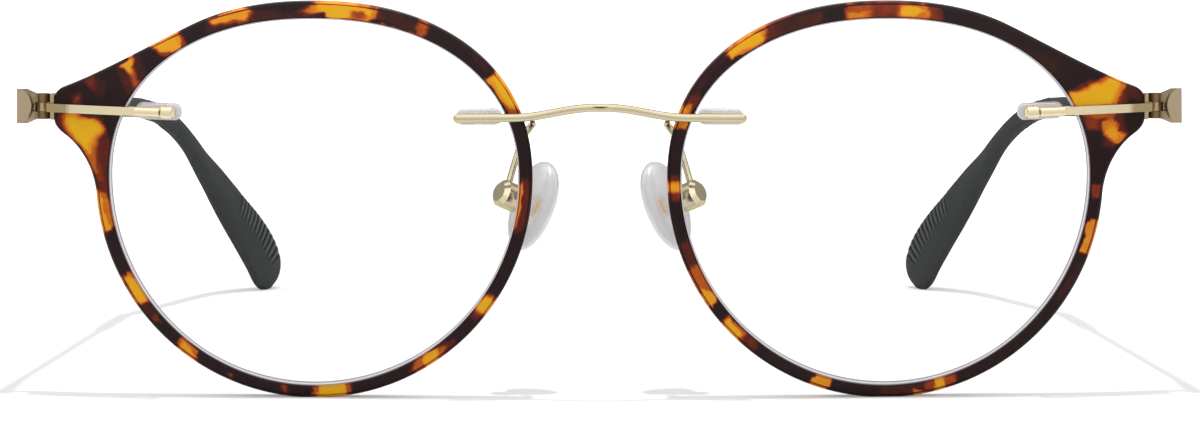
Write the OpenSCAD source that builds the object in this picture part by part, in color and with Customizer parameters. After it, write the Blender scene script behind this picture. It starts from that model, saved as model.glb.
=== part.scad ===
/* [Lenses] */
// Width of one lens
lens_w = 49.7; // [46:0.1:52]
// Height of one lens
lens_h = 44.6; // [41:0.1:47]
// Height of the lens below its widest line
lens_low = 25.15; // [23:0.05:26.4]
// Gap between the two lenses at the nose
lens_gap = 18; // [16:0.5:21]
// Thickness of the lens
lens_t = 1.8; // [1.5:0.1:2.2]
// Radius of the lens's front surface
lens_r = 118; // [100:2:150]
// Angle by which each lens turns back to the side
wrap = 4; // [2:0.5:6]

/* [Rims] */
// Front width of the rim at its sides
rim_side = 1.55; // [1.4:0.05:2.4]
// Front width of the rim at the top
rim_top = 1.95; // [1.4:0.05:2.8]
// Front width of the rim at the bottom
rim_bottom = 1.45; // [1.3:0.05:2.6]
// Depth of the rim from front to back
rim_depth = 3; // [2.8:0.1:3.4]
// Step from the rim's front face down to the lens
rim_lip = 0.45; // [0.3:0.05:0.6]
// Depth of the groove that holds the lens
groove = 0.5; // [0.4:0.05:0.7]
// Width of the flat that each rim stands on
foot_w = 3.4; // [2:0.2:5]
// Length of the pointed ear past the rim
ear_reach = 5.05; // [4.5:0.05:7]
// Height of the ear's blunt end
ear_h = 4.7; // [4.2:0.1:5.4]
// Height of the ear's middle above the lens's widest line
ear_up = 7.95; // [7:0.25:8.5]

/* [Bridge] */
// Thickness of the bridge wire
bridge_d = 1; // [0.8:0.05:1.2]
// Height of the bridge ends above the lens's widest line
bridge_up = 7.25; // [6.5:0.25:8]
// Rise of the bridge in its middle
bridge_rise = 1.3; // [0.5:0.05:2]
// How far the bridge bows forward in its middle
bridge_bow = 0.8; // [0.2:0.1:2]

/* [Lens mounts] */
// Distance between the two pins of a mount
pin_gap = 3; // [2.6:0.1:3.4]
// Distance from the lens edge to the first pin
pin_inset = 2.5; // [2.3:0.1:2.8]
// Diameter of a mounting pin
pin_d = 0.7; // [0.5:0.05:0.8]
// Wall of the bushing round a pin
bushing_wall = 0.28; // [0.25:0.01:0.35]
// Height of the clear mounting plates
plate_h = 1.8; // [1.8:0.1:2.4]
// Thickness of the clear plate behind the lens
plate_t = 0.8; // [0.6:0.1:1.2]
// Length of a pin past the clear plate
pin_out = 0.3; // [0.1:0.1:0.6]

/* [Endpieces] */
// Height and depth of the endpiece bar
bar_d = 1; // [0.8:0.05:1.2]
// Slope of the endpiece bar down to the nose in degrees
bar_tilt = 1.4; // [0:0.2:3]
// Thickness of the plate at the end of the ear
end_plate_t = 0.45; // [0.4:0.05:0.6]

/* [Hinges] */
// Diameter of a hinge knuckle
knuckle_d = 1.86; // [1.7:0.02:1.94]
// Height of the whole hinge
hinge_h = 3; // [2.7:0.1:3.4]
// Height of the middle knuckle
knuckle_mid = 1.02; // [0.8:0.02:1.2]
// Diameter of the hinge screw
hinge_screw_d = 0.8; // [0.6:0.05:0.9]
// Diameter of the hinge screw's head
hinge_head_d = 1.3; // [1.1:0.05:1.4]

/* [Temples] */
// Length of a temple from its front end to its tip
temple_len = 145; // [135:1:150]
// Height of the tab at the front of a temple
tab_h = 4.15; // [3.8:0.05:4.6]
// Thickness of the tab
tab_t = 1.75; // [1.6:0.05:1.8]
// Length of the tab
tab_len = 5; // [4:0.5:7]
// Height of the temple blade
blade_h = 2.5; // [2:0.1:2.8]
// Thickness of the temple blade
blade_t = 1.1; // [0.9:0.05:1.3]
// Diameter of the core wire inside the temple tip
core_d = 1.1; // [0.8:0.05:1.2]
// Length of the core wire inside the temple tip
core_len = 22; // [14:1:26]

/* [Temple tips] */
// Length of a temple tip along its curve
tip_len = 72; // [66:1:76]
// Height of the tip where it starts
tip_h = 2.6; // [2.4:0.1:3.2]
// Thickness of the tip where it starts
tip_t = 2.1; // [2:0.1:2.6]
// Width of the tip's paddle
paddle_w = 7; // [5:0.2:7.4]
// Thickness of the tip's paddle
paddle_t = 2.6; // [2.2:0.1:3.2]
// Twist of the paddle in degrees
paddle_twist = 14; // [0:1:20]
// Number of grip grooves
rib_n = 13; // [4:1:14]
// Distance between two grip grooves
rib_pitch = 1.05; // [0.9:0.05:1.15]
// Depth of a grip groove
rib_depth = 0.16; // [0.08:0.02:0.24]

/* [Nose pads] */
// Distance from the middle of the glasses to the pad screw
pad_x = 10.9; // [10.6:0.1:12]
// Distance of the pad screw behind the lens's foremost point
pad_back = 6.6; // [6.4:0.1:8]
// Height of the pad screw below the lens's widest line
pad_down = 2.4; // [1.5:0.1:3]
// Length of a nose pad
pad_len = 11.2; // [10:0.2:12.6]
// Width of a nose pad
pad_w = 7.4; // [6.4:0.2:8.4]
// Thickness of a nose pad
pad_t = 2.8; // [2.4:0.1:3.2]
// Distance of the pad's middle below its screw
pad_low = 0; // [0:0.1:0.8]
// Free length of the stem between the pad box and the pad
stem_free = 1.6; // [1:0.1:1.8]
// Angle by which a pad faces back
pad_splay = 34; // [24:1:36]
// Angle by which a pad leans in at the top
pad_lean = 22; // [12:1:24]
// Diameter of the round pad box
box_d = 3.3; // [3.1:0.1:3.7]
// Depth of the pad box
box_len = 2.6; // [2.4:0.1:3]
// Wall of the pad box
box_wall = 0.45; // [0.35:0.05:0.5]
// Diameter of the pad screw
pad_screw_d = 0.7; // [0.6:0.05:0.8]
// Thickness of the pad arm
arm_d = 0.8; // [0.7:0.05:0.9]

/* [Fits] */
// Gap between fixed pieces that touch
seat = 0.02; // [0.01:0.01:0.04]
// Gap round a pin or screw that turns
run = 0.02; // [0.02:0.01:0.05]
// Gap between two hinge knuckles
knuckle_gap = 0.05; // [0.03:0.01:0.08]

/* [Hidden] */
$fn = 64;

// Each piece is drawn for the wearer's left side, at positive x, and mirrored for the right.
// Y runs back from the foremost point of the lens fronts, and z runs up from the table.
lens_x = (lens_gap + lens_w) / 2;
open_a = lens_w / 2 - groove;
open_low = lens_low - groove;
open_up = lens_h - lens_low - groove;
wide_z = rim_bottom + open_low;
ball_x = lens_x - lens_r * sin(wrap);
ball_z = rim_bottom - groove + lens_h / 2;
r_lip = lens_r + rim_lip;
r_back = r_lip - rim_depth;
r_rear = lens_r - lens_t;
n_up = 2.2;
n_low = 2;
ring_step = 4;

function spow(v, e) = v < 0 ? -pow(-v, e) : pow(v, e);

// A point of the outline at angle t, 0 at the temple side and 90 at the top.
function outline(t, gs, gu, gl) =
  let (up = sin(t) >= 0)
  let (n = up ? n_up : n_low)
  let (h = up ? open_up + gu : open_low + gl)
  [lens_x + (open_a + gs) * spow(cos(t), 2 / n), wide_z + h * spow(sin(t), 2 / n)];

function ring(g) = [for (t = [ring_step / 2 : ring_step : 360]) outline(t, g, g, g)];

// Half the width of the lens at height z, above its widest line.
function half_w(z) =
  (open_a + groove) * pow(1 - pow((z - wide_z) / (open_up + groove), n_up), 1 / n_up);

// Y of a ball surface of radius r that is centred on the lens's own centre of curvature.
function ball_y(x, z, r) = lens_r - sqrt(r * r - pow(x - ball_x, 2) - pow(z - ball_z, 2));

function mix(a, b, t) = a + (b - a) * t;
function bez3(a, b, c, d, t) =
  a * pow(1 - t, 3) + b * 3 * t * pow(1 - t, 2) + c * 3 * t * t * (1 - t) + d * pow(t, 3);
function bez2(a, b, c, t) = a * pow(1 - t, 2) + b * 2 * t * (1 - t) + c * t * t;
function unit(v) = v / norm(v);

// The ear.
ear_x = lens_x + open_a + rim_side + ear_reach;
ear_z = wide_z + ear_up;
ear_t1 = 60;
ear_t0 = -5;
ear_top = [ear_x - 1, ear_z + ear_h / 2 + 0.15];
ear_bot = [ear_x - 1.35, ear_z - ear_h / 2 - 0.7];

function outer(t) = outline(t, rim_side, rim_top, rim_bottom);
ear_a = outer(ear_t1);
ear_b = outer(ear_t0);
ear_ta = unit(outer(ear_t1 - 2) - outer(ear_t1));
ear_tb = unit(outer(ear_t0 + 2) - outer(ear_t0));

rim_curve = concat(
  [for (t = [ear_t1 : ring_step : 360 + ear_t0 - 0.5]) outer(t)],
  [for (i = [0 : 8])
    bez3(ear_b, ear_b + 3.2 * ear_tb, ear_bot - [1.9, 1.3], ear_bot, i / 8)],
  [for (i = [1 : 5])
    bez2(ear_bot, [ear_x, ear_bot[1] + 0.9], [ear_x, ear_bot[1] + 1.9], i / 5)],
  [for (i = [0 : 5])
    bez2([ear_x, ear_top[1] - 1.5], [ear_x, ear_top[1] - 0.45], ear_top, i / 5)],
  [for (i = [1 : 7])
    bez3(ear_top, ear_top + [-5, 1.9], ear_a + 4 * ear_ta, ear_a, i / 8)]);

// The rim's lowest arc is cut to a flat that is foot_w wide.
foot_cut = pow(foot_w / 2, 2) / (2 * (open_a + rim_side));
rim_outline = [for (p = rim_curve) [p[0], max(p[1], foot_cut)]];
drop = foot_cut;

// Mount heights and places.
nasal_z = wide_z + bridge_up;
side_z = ear_z - 0.3;
nasal_x1 = lens_x - half_w(nasal_z) + pin_inset;
nasal_x2 = nasal_x1 + pin_gap;
side_x1 = lens_x + half_w(side_z) - pin_inset - 1.1;
side_x2 = side_x1 - pin_gap;
bush_d = pin_d + 2 * run + 2 * bushing_wall;
plate_len = pin_gap + plate_h + 0.7;

// The bar slopes down to the nose, about its outer end.
function bar_z(x) = bar_top - (ear_x - x) * tan(bar_tilt);
bar_top = ear_z + 0.15;
bar_r = sqrt(r_lip * r_lip - pow(ear_z - ball_z - bar_d, 2)) + 0.06;
function bridge_seat(x) =
  ball_y(x, nasal_z - bridge_d / 2, r_lip) - 0.06 - bridge_d / 2;
bridge_y = bridge_seat(nasal_x2 + 1.4);

// The hinge.
plate_x1 = ear_x + seat;
plate_x2 = plate_x1 + end_plate_t;
pivot_x = plate_x2 + 0.07 + knuckle_d / 2;
ear_back = ball_y(ear_x, ear_z, r_back);
pivot_y = ear_back - 0.8;
hinge_z = ear_z + 0.15;
hinge_z1 = hinge_z - hinge_h / 2;
hinge_z2 = hinge_z + hinge_h / 2;
mid_z1 = hinge_z - knuckle_mid / 2 - 0.05;
mid_z2 = mid_z1 + knuckle_mid;
screw_head_t = 0.32;

// The temple's straight part and its curve. Each row gives the way in, back and the share of
// the drop, for a temple 145 long. The third row ends the straight part.
tab_front = 2.2;
blade_x = pivot_x + knuckle_d / 2 + 0.09 + tab_t - 0.7;
end_z = 0.2;
route = [[0, 0, 0], [3.8, 43, 0.0875], [7.6, 86, 0.175], [8.8, 91.5, 0.194], [10.3, 97, 0.225],
  [12, 103, 0.285], [13.6, 109, 0.365], [15.2, 115, 0.47], [16.8, 119.8, 0.56],
  [18.8, 123.6, 0.665], [20.9, 126.8, 0.78], [22.5, 129, 0.89], [23.2, 130.2, 1]];
route_end = route[len(route) - 1];
k_len = (temple_len - tab_front) / 142.6;
function road(p) = [blade_x - p[0] * k_len, pivot_y + p[1] * k_len,
  hinge_z - (hinge_z - end_z - drop) * p[2]];
yaw = atan(route[2][0] / route[2][1]);
pitch = atan((hinge_z - road(route[2])[2]) / norm([route[2][0], route[2][1]] * k_len));

// The glasses stand centred on the origin.
back_y = road(route_end)[1] + 2.28;
front_y = bridge_y - bridge_bow - bridge_d / 2;
shift = [0, -(front_y + back_y) / 2, -drop];

module place() {
  translate(shift) children();
}
module other() {
  mirror([1, 0, 0]) children();
}
// Stands an outline up and gives it depth along y, from y0 back to y1.
module slab(y0, y1) {
  translate([0, y1, 0]) rotate([90, 0, 0]) linear_extrude(y1 - y0) children();
}
module ball(r) {
  translate([ball_x, lens_r, ball_z]) sphere(r, $fn = 256);
}
module rod(x, z, d, y0, y1) {
  translate([x, y1, z]) rotate([90, 0, 0]) cylinder(d = d, h = y1 - y0);
}

// Rims and lenses
module rim() {
  color("#3a1712") place() difference() {
    intersection() {
      slab(-6, 20) polygon(rim_outline);
      ball(r_lip);
    }
    ball(r_back);
    slab(-8, 22) polygon(ring(0));
    intersection() {
      slab(-7, 21) polygon(ring(groove));
      difference() {
        ball(lens_r + seat);
        ball(r_rear - seat);
      }
    }
  }
}
module lens() {
  color("#e8eef0") place() difference() {
    intersection() {
      slab(-6, 20) polygon(ring(groove - seat));
      ball(lens_r);
    }
    ball(r_rear);
    for (x = [nasal_x1, nasal_x2]) rod(x, nasal_z, bush_d + 2 * seat, -7, 21);
    for (x = [side_x1, side_x2]) rod(x, bar_z(x), bush_d + 2 * seat, -7, 21);
  }
}

// Clear mounting plates. The long axis runs from one pin to the other.
module plate_shape(x1, x2, z1, z2) {
  a = atan((z2 - z1) / (x2 - x1));
  c = [(x1 + x2) / 2, (z1 + z2) / 2];
  translate(c) rotate(a) union() {
    square([plate_len - plate_h, plate_h], center = true);
    for (s = [-1, 1]) translate([s * (plate_len - plate_h) / 2, 0]) circle(d = plate_h);
  }
}
module bushing(x1, x2, z1, z2) {
  difference() {
    union() {
      difference() {
        intersection() {
          slab(0, 20) plate_shape(x1, x2, z1, z2);
          ball(r_rear - seat);
        }
        ball(r_rear - seat - plate_t);
      }
      difference() {
        intersection() {
          union() {
            rod(x1, z1, bush_d, -2, 20);
            rod(x2, z2, bush_d, -2, 20);
          }
          ball(lens_r);
        }
        ball(r_rear - seat - plate_t / 2);
      }
    }
    rod(x1, z1, pin_d + 2 * seat, -3, 21);
    rod(x2, z2, pin_d + 2 * seat, -3, 21);
  }
}
module bushing_nasal() {
  color("#eef0f2") place() bushing(nasal_x1, nasal_x2, nasal_z, nasal_z);
}
module bushing_side() {
  color("#eef0f2") place() bushing(side_x2, side_x1, bar_z(side_x2), bar_z(side_x1));
}
module spacer(x1, x2, z1, z2) {
  difference() {
    intersection() {
      slab(-4, 12) plate_shape(x1, x2, z1, z2);
      ball(r_lip + seat);
    }
    ball(lens_r + seat);
    rod(x1, z1, pin_d + 2 * seat, -5, 21);
    rod(x2, z2, pin_d + 2 * seat, -5, 21);
  }
}
module spacer_nasal() {
  color("#eef0f2") place() spacer(nasal_x1, nasal_x2, nasal_z, nasal_z);
}
module spacer_side() {
  color("#eef0f2") place() spacer(side_x2, side_x1, bar_z(side_x2), bar_z(side_x1));
}

// A tube or blade along a list of points. half gives each ring's half width and half
// thickness, side gives the direction of the thickness, and turn its twist.
function sweep_points(pts, half, side, turn, n) =
  [for (i = [0 : len(pts) - 1])
    let (a = pts[max(i - 1, 0)], b = pts[min(i + 1, len(pts) - 1)])
    let (t = unit(b - a))
    let (s0 = unit(side[i] - t * (side[i] * t)))
    let (w0 = cross(s0, t))
    let (s = s0 * cos(turn[i]) - w0 * sin(turn[i]))
    let (w = w0 * cos(turn[i]) + s0 * sin(turn[i]))
    each [for (j = [0 : n - 1])
      let (g = 360 * j / n)
      pts[i] + s * half[i][1] * spow(cos(g), 0.8) + w * half[i][0] * spow(sin(g), 0.8)]];
function sweep_faces(m, n) = concat(
  [[for (j = [n - 1 : -1 : 0]) j]],
  [for (i = [0 : m - 2], j = [0 : n - 1])
    let (a = i * n + j, b = i * n + (j + 1) % n)
    each [[a, b + n, a + n], [a, b, b + n]]],
  [[for (j = [0 : n - 1]) (m - 1) * n + j]]);
module sweep(pts, half, side, turn, n) {
  polyhedron(sweep_points(pts, half, side, turn, n), sweep_faces(len(pts), n), convexity = 8);
}

// Bridge: a wire that rises in the middle, with the pins that go through the lenses.
bridge_end = nasal_x2 + 1.5;
function ease(t) = t < 0 ? 0 : (t > 1 ? 1 : t * t * (3 - 2 * t));
function bridge_pt(x) =
  let (e = 1 - ease((abs(x) - 0.5) / (nasal_x1 - 3.2)))
  [x, mix(bridge_seat(abs(x)), bridge_y - bridge_bow, e), nasal_z + bridge_rise * e];
bridge_xs = concat([for (i = [0 : 5]) -bridge_end + 0.5 * bridge_d * (1 - cos(i * 18))],
  [for (i = [1 : 39]) mix(-bridge_end + bridge_d / 2, bridge_end - bridge_d / 2, i / 40)],
  [for (i = [0 : 5]) bridge_end - 0.5 * bridge_d * (1 - sin(i * 18))]);
module bridge() {
  color("#c9b684") place() union() {
    sweep([for (x = bridge_xs) bridge_pt(x)],
      [for (x = bridge_xs)
        let (q = max(0, (abs(x) - bridge_end) / (bridge_d / 2) + 1))
        let (k = max(0.15, sqrt(max(0, 1 - q * q))))
        [k * bridge_d / 2, k * bridge_d / 2]],
      [for (x = bridge_xs) [0, -1, 0]], [for (x = bridge_xs) 0], 14);
    for (s = [-1, 1], x = [nasal_x1, nasal_x2])
      rod(s * x, nasal_z, pin_d, bridge_y, pin_back(x, nasal_z));
  }
}
function pin_back(x, z) = ball_y(x, z, r_rear - plate_t) + pin_out;

// Endpiece: bar across the ear's front, end plate and middle knuckle.
function bar_middle(x) = lens_r - sqrt(pow(bar_r + bar_d / 2, 2) - pow(x - ball_x, 2));
module endpiece() {
  a0 = asin((side_x2 - ball_x) / bar_r);
  a1 = asin((plate_x2 - ball_x) / bar_r);
  bar_y = lens_r - sqrt(bar_r * bar_r - pow(ear_x - ball_x, 2));
  color("#c9b684") place() difference() {
    union() {
      // the bar, which slopes about its outer end
      translate([ear_x, 0, bar_top]) rotate([0, -bar_tilt, 0]) translate([-ear_x, 0, -bar_top])
        difference() {
          union() {
            translate([ball_x, lens_r, bar_top - bar_d / 2]) rotate([0, 0, -90 + a0])
              rotate_extrude(angle = a1 - a0, $fn = 256)
                translate([bar_r, 0]) square([bar_d, bar_d]);
            end_cap(a0);
          }
          notch();
        }
      for (x = [side_x1, side_x2])
        rod(x, bar_z(x), pin_d, bar_middle(x), pin_back(x, side_z));
      // the end plate and the corner from the bar to it
      translate([plate_x1, bar_y - 0.4, bar_top - bar_d / 2])
        cube([end_plate_t, 2, bar_d]);
      translate([plate_x1, bar_y + 0.5, hinge_z1])
        cube([end_plate_t, pivot_y + 0.9 - bar_y - 0.5, hinge_h]);
      // the middle knuckle
      translate([pivot_x, pivot_y, mid_z1]) cylinder(d = knuckle_d, h = knuckle_mid);
      translate([plate_x2 - 0.2, pivot_y - 0.75, mid_z1])
        cube([pivot_x - plate_x2 + 0.2, 1.5, knuckle_mid]);
    }
    translate([pivot_x, pivot_y, hinge_z1 - 1])
      cylinder(d = hinge_screw_d + 2 * run, h = hinge_h + 2);
  }
}
// The bar's rounded inner end
module end_cap(a0) {
  translate([ball_x, lens_r, bar_top - bar_d / 2]) rotate([0, 0, -90 + a0])
    translate([bar_r + bar_d / 2, 0, 0]) cylinder(d = bar_d, h = bar_d);
}
// A groove across the bar between the two pins
module notch() {
  xm = side_x1 - pin_gap * 0.63;
  ym = ball_y(xm, ear_z, bar_r + bar_d);
  translate([xm - 0.12, ym - 1, bar_top - bar_d]) cube([0.24, 1.14, 2 * bar_d]);
}

// Temple
module temple_frame() {
  translate([blade_x, pivot_y, hinge_z]) rotate([-pitch, 0, yaw]) children();
}
blade_len = norm(road(route[2]) - road(route[0]));
curve_len = temple_len - tab_front - blade_len;
tip_start = temple_len - tab_front - tip_len;
module tab_shape() {
  intersection() {
    translate([0.7 - tab_t, -tab_h / 2]) square([tab_t, tab_h]);
    translate([0.7 - tab_t + tab_h * 0.56, 0]) circle(d = tab_h * 1.12);
  }
}
module blade_shape(w, h) {
  r = w * 0.35;
  translate([0.15, 0]) union() {
    square([w - 2 * r, h], center = true);
    square([w, h - 2 * r], center = true);
    for (sx = [-1, 1], sy = [-1, 1])
      translate([sx * (w / 2 - r), sy * (h / 2 - r)]) circle(r);
  }
}
module temple() {
  color("#c9b684") place() difference() {
    union() {
      temple_frame() {
        slab(-tab_front, tab_len - tab_front) tab_shape();
        hull() {
          slab(tab_len - tab_front - 0.1, tab_len - tab_front) tab_shape();
          slab(tab_len + 7, tab_len + 7.2) blade_shape(blade_t, blade_h);
        }
        slab(tab_len + 7.1, tip_start - 0.05) blade_shape(blade_t, blade_h);
        rod(0.15, 0, core_d, tip_start - 0.1, tip_start + core_len);
      }
      knuckle(mid_z2 + knuckle_gap, hinge_z2);
      knuckle(hinge_z1, mid_z1 - knuckle_gap);
    }
    translate([pivot_x, pivot_y, hinge_z1 - 1])
      cylinder(d = hinge_screw_d + 2 * run, h = hinge_h + 2);
    translate([pivot_x, pivot_y, hinge_z2 - screw_head_t])
      cylinder(d = hinge_head_d + 2 * run, h = 2);
  }
}
module knuckle(z1, z2) {
  translate([pivot_x, pivot_y, z1]) cylinder(d = knuckle_d, h = z2 - z1);
  translate([pivot_x, pivot_y - 0.75, z1]) cube([blade_x + 0.1 - pivot_x, 1.5, z2 - z1]);
}
module hinge_screw() {
  color("#b9a878") place() difference() {
    union() {
      translate([pivot_x, pivot_y, hinge_z1 + seat])
        cylinder(d = hinge_screw_d, h = hinge_h - 2 * seat);
      translate([pivot_x, pivot_y, hinge_z2 - screw_head_t + seat])
        cylinder(d = hinge_head_d, h = screw_head_t - 2 * seat);
    }
    translate([pivot_x - 1, pivot_y - 0.11, hinge_z2 - 0.16]) cube([2, 0.22, 1]);
  }
}

// Temple tip, swept along the temple's own curve.
function cat(a, b, c, d, t) =
  0.5 * (2 * b + (c - a) * t + (2 * a - 5 * b + 4 * c - d) * t * t
    + (3 * b - a - 3 * c + d) * t * t * t);
curve_n = len(route) - 1;
function curve_pt(u) =
  let (i = min(floor(u), curve_n - 1), f = u - i)
  cat(road(route[max(i - 1, 0)]), road(route[i]), road(route[i + 1]),
    i + 2 > curve_n ? 2 * road(route[curve_n]) - road(route[curve_n - 1]) : road(route[i + 2]), f);
fine_n = 16;
curve_us = [for (k = [2 * fine_n : curve_n * fine_n]) k / fine_n];
curve_ps = [for (u = curve_us) curve_pt(u)];
function run_sum(p, i, s) = i >= len(p) ? [] :
  concat([s], run_sum(p, i + 1, i + 1 < len(p) ? s + norm(p[i + 1] - p[i]) : s));
curve_ss = run_sum(curve_ps, 0, blade_len);
path_len = curve_ss[len(curve_ss) - 1];
function at_len(s) =
  s <= blade_len ? road(route[0]) + (road(route[2]) - road(route[0])) * s / blade_len :
  lookup_pt(min(s, path_len));
function lookup_pt(s) = [for (c = [0 : 2])
  lookup(s, [for (i = [0 : len(curve_ss) - 1]) [curve_ss[i], curve_ps[i][c]]])];

rib_end = 4.6;
rib_zone = rib_n * rib_pitch;
tip_ss = concat(
  [for (i = [0 : 6]) mix(tip_start, blade_len - 2, i / 6)],
  [for (i = [1 : 15]) mix(blade_len - 2, path_len - rib_end - rib_zone, i / 16)],
  [for (i = [0 : rib_n * 3]) path_len - rib_end - rib_zone + i * rib_pitch / 3],
  [for (i = [1 : 8]) path_len - rib_end + rib_end * sin(i * 11.25)]);
function tip_share(s) = ease((s - path_len + tip_len / 2) / (tip_len * 0.42));
function tip_round(s) =
  let (q = (s - (path_len - paddle_w * 0.55)) / (paddle_w * 0.55))
  q <= 0 ? 1 : max(0.12, sqrt(max(0, 1 - q * q)));
function rib_cut(s) =
  let (q = (s - (path_len - rib_end - rib_zone)) / rib_pitch)
  q <= 0.01 || q >= rib_n - 0.01 ? 0 : rib_depth * (0.5 - 0.5 * cos(q * 360));
module temple_tip() {
  m = len(tip_ss);
  color("#2b3333") place() difference() {
    sweep([for (s = tip_ss) at_len(s) + [0.15, 0, 0] - [rib_cut(s) / 2, 0, 0] * -1],
      [for (s = tip_ss)
        [tip_round(s) * mix(tip_h, paddle_w, tip_share(s)) / 2,
         max(0.35, tip_round(s)) * mix(tip_t, paddle_t, tip_share(s)) / 2 - rib_cut(s) / 2]],
      [for (s = tip_ss) [-1, 0, 0]],
      [for (s = tip_ss) -paddle_twist * tip_share(s)], 16);
    temple_frame() rod(0.15, 0, core_d + 2 * seat, tip_start - 1, tip_start + core_len + 0.5);
    temple_frame() slab(tip_start - 2, tip_start + seat) square(20, center = true);
  }
}

// Nose pads. In the pad frame x points away from the nose, y back and z up the pad.
pivot = [pad_x, pad_back, wide_z - pad_down];
module pad_frame() {
  translate(pivot) rotate([0, 0, -pad_splay]) rotate([0, -pad_lean, 0]) children();
}
box_x1 = -1.1;
box_x2 = box_x1 + box_len;
pad_near = box_x1 - stem_free;
stem = 1.1;
core_plate = [0.5, 2.4, 3.8];
module pad_box() {
  color("#c9b684") place() pad_frame() difference() {
    union() {
      translate([box_x1, 0, 0]) rotate([0, 90, 0]) cylinder(d = box_d, h = box_len - 0.5);
      translate([box_x2 - 0.5, 0, 0]) rotate([0, 90, 0])
        cylinder(d1 = box_d, d2 = box_d - 1, h = 0.5);
    }
    translate([box_x1 - 1, 0, 0]) rotate([0, 90, 0])
      cylinder(d = box_d - 2 * box_wall, h = box_len - 0.6 + 1);
    translate([0, 5, 0]) rotate([90, 0, 0]) cylinder(d = pad_screw_d + 2 * seat, h = 10);
  }
}
module pad_screw() {
  color("#b9a878") place() pad_frame() difference() {
    union() {
      translate([0, box_d / 2 + seat + 0.1, 0]) rotate([90, 0, 0])
        cylinder(d = pad_screw_d, h = box_d + 0.1);
      translate([0, box_d / 2 + seat + 0.35, 0]) rotate([90, 0, 0])
        cylinder(d = pad_screw_d + 0.5, h = 0.35);
    }
    translate([-1, box_d / 2 + 0.2, -0.09]) cube([2, 1, 0.18]);
  }
}
module pad_core() {
  color("#cf9a3a") place() pad_frame() difference() {
    core_shape(0);
    translate([0, 5, 0]) rotate([90, 0, 0]) cylinder(d = pad_screw_d + 2 * run, h = 10);
  }
}
module core_shape(g) {
  union() {
    rotate([0, 90, 0]) translate([0, 0, pad_near - 0.9 - g])
      cylinder(d = stem + 2 * g, h = 0.62 - pad_near + 0.9 + g);
    translate([pad_near - 0.8 - core_plate[0] - g, -core_plate[1] / 2 - g, -core_plate[2] / 2 - g])
      cube(core_plate + 2 * g * [1, 1, 1]);
  }
}
// The pad is a little fuller above and domed to the nose.
pad_rings = 9;
module nose_pad() {
  color("#e9e6ea") place() pad_frame() difference() {
    translate([pad_near, 0, -pad_low]) hull()
      for (q = [[0.86, 0], [1, 0.3], [0.94, 0.6], [0.72, 0.84], [0.36, 1]])
        translate([-q[1] * pad_t, 0, 0]) pad_slice(q[0]);
    core_shape(seat);
  }
}
module pad_slice(k) {
  rotate([0, -90, 0]) linear_extrude(0.02)
    polygon([for (t = [0 : 15 : 345])
      let (s = sin(t), c = cos(t))
      [c * k * pad_len / 2, s * k * pad_w / 2 * (1 + 0.08 * c)]]);
}

// Pad arm: a bent wire from under the bridge to the top of the pad box.
arm_x = 7.95;
arm_ctrl = [
  [arm_x, bridge_pt(arm_x)[1] + 0.05, bridge_low(arm_x) - seat],
  [arm_x - 0.15, bridge_pt(arm_x)[1] + 0.9, wide_z + 6.15],
  [arm_x - 0.05, 4.8, wide_z + 5.85],
  [arm_x + 1.15, 6.05, wide_z + 4.1],
  [arm_x + 2.15, 6.85, wide_z + 1.7],
  [pad_x, pad_back + 0.3, pivot[2] + 1]];
function bridge_low(x) = bridge_pt(x)[2] - bridge_d / 2 - 0.02;
function arm_pt(u) =
  let (i = min(floor(u), 4), f = u - i)
  cat(arm_ctrl[max(i - 1, 0)], arm_ctrl[i], arm_ctrl[i + 1], arm_ctrl[min(i + 2, 5)], f);
module pad_arm() {
  us = [for (i = [0 : 30]) i / 6];
  color("#c9b684") place() difference() {
    sweep([for (u = us) arm_pt(u)], [for (u = us) [1, 1] * arm_d / 2 * (u < 0.6 ? 1.25 - u / 2.4 : 1)],
      [for (u = us) [1, 0.2, 0]], [for (u = us) 0], 12);
    pad_frame() translate([-5, 0, 0]) rotate([0, 90, 0]) cylinder(d = box_d + 2 * seat, h = 10);
    bridge_cutter();
  }
}
// Clears the wire above the bridge's underside.
module bridge_cutter() {
  translate([0, -10, bridge_low(arm_x) - seat]) cube([20, 20, 20]);
}

rim();  // rim_left
other() rim();  // rim_right
lens();  // lens_left
other() lens();  // lens_right
bridge();
spacer_nasal();  // spacer_nasal_left
other() spacer_nasal();  // spacer_nasal_right
spacer_side();  // spacer_side_left
other() spacer_side();  // spacer_side_right
bushing_nasal();  // bushing_nasal_left
other() bushing_nasal();  // bushing_nasal_right
bushing_side();  // bushing_side_left
other() bushing_side();  // bushing_side_right
endpiece();  // endpiece_left
other() endpiece();  // endpiece_right
temple();  // temple_left
other() temple();  // temple_right
hinge_screw();  // hinge_screw_left
other() hinge_screw();  // hinge_screw_right
temple_tip();  // temple_tip_left
other() temple_tip();  // temple_tip_right
pad_arm();  // pad_arm_left
other() pad_arm();  // pad_arm_right
pad_box();  // pad_box_left
other() pad_box();  // pad_box_right
pad_screw();  // pad_screw_left
other() pad_screw();  // pad_screw_right
pad_core();  // pad_core_left
other() pad_core();  // pad_core_right
nose_pad();  // nose_pad_left
other() nose_pad();  // nose_pad_right
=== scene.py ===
import math

import bpy
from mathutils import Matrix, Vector, noise


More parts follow.
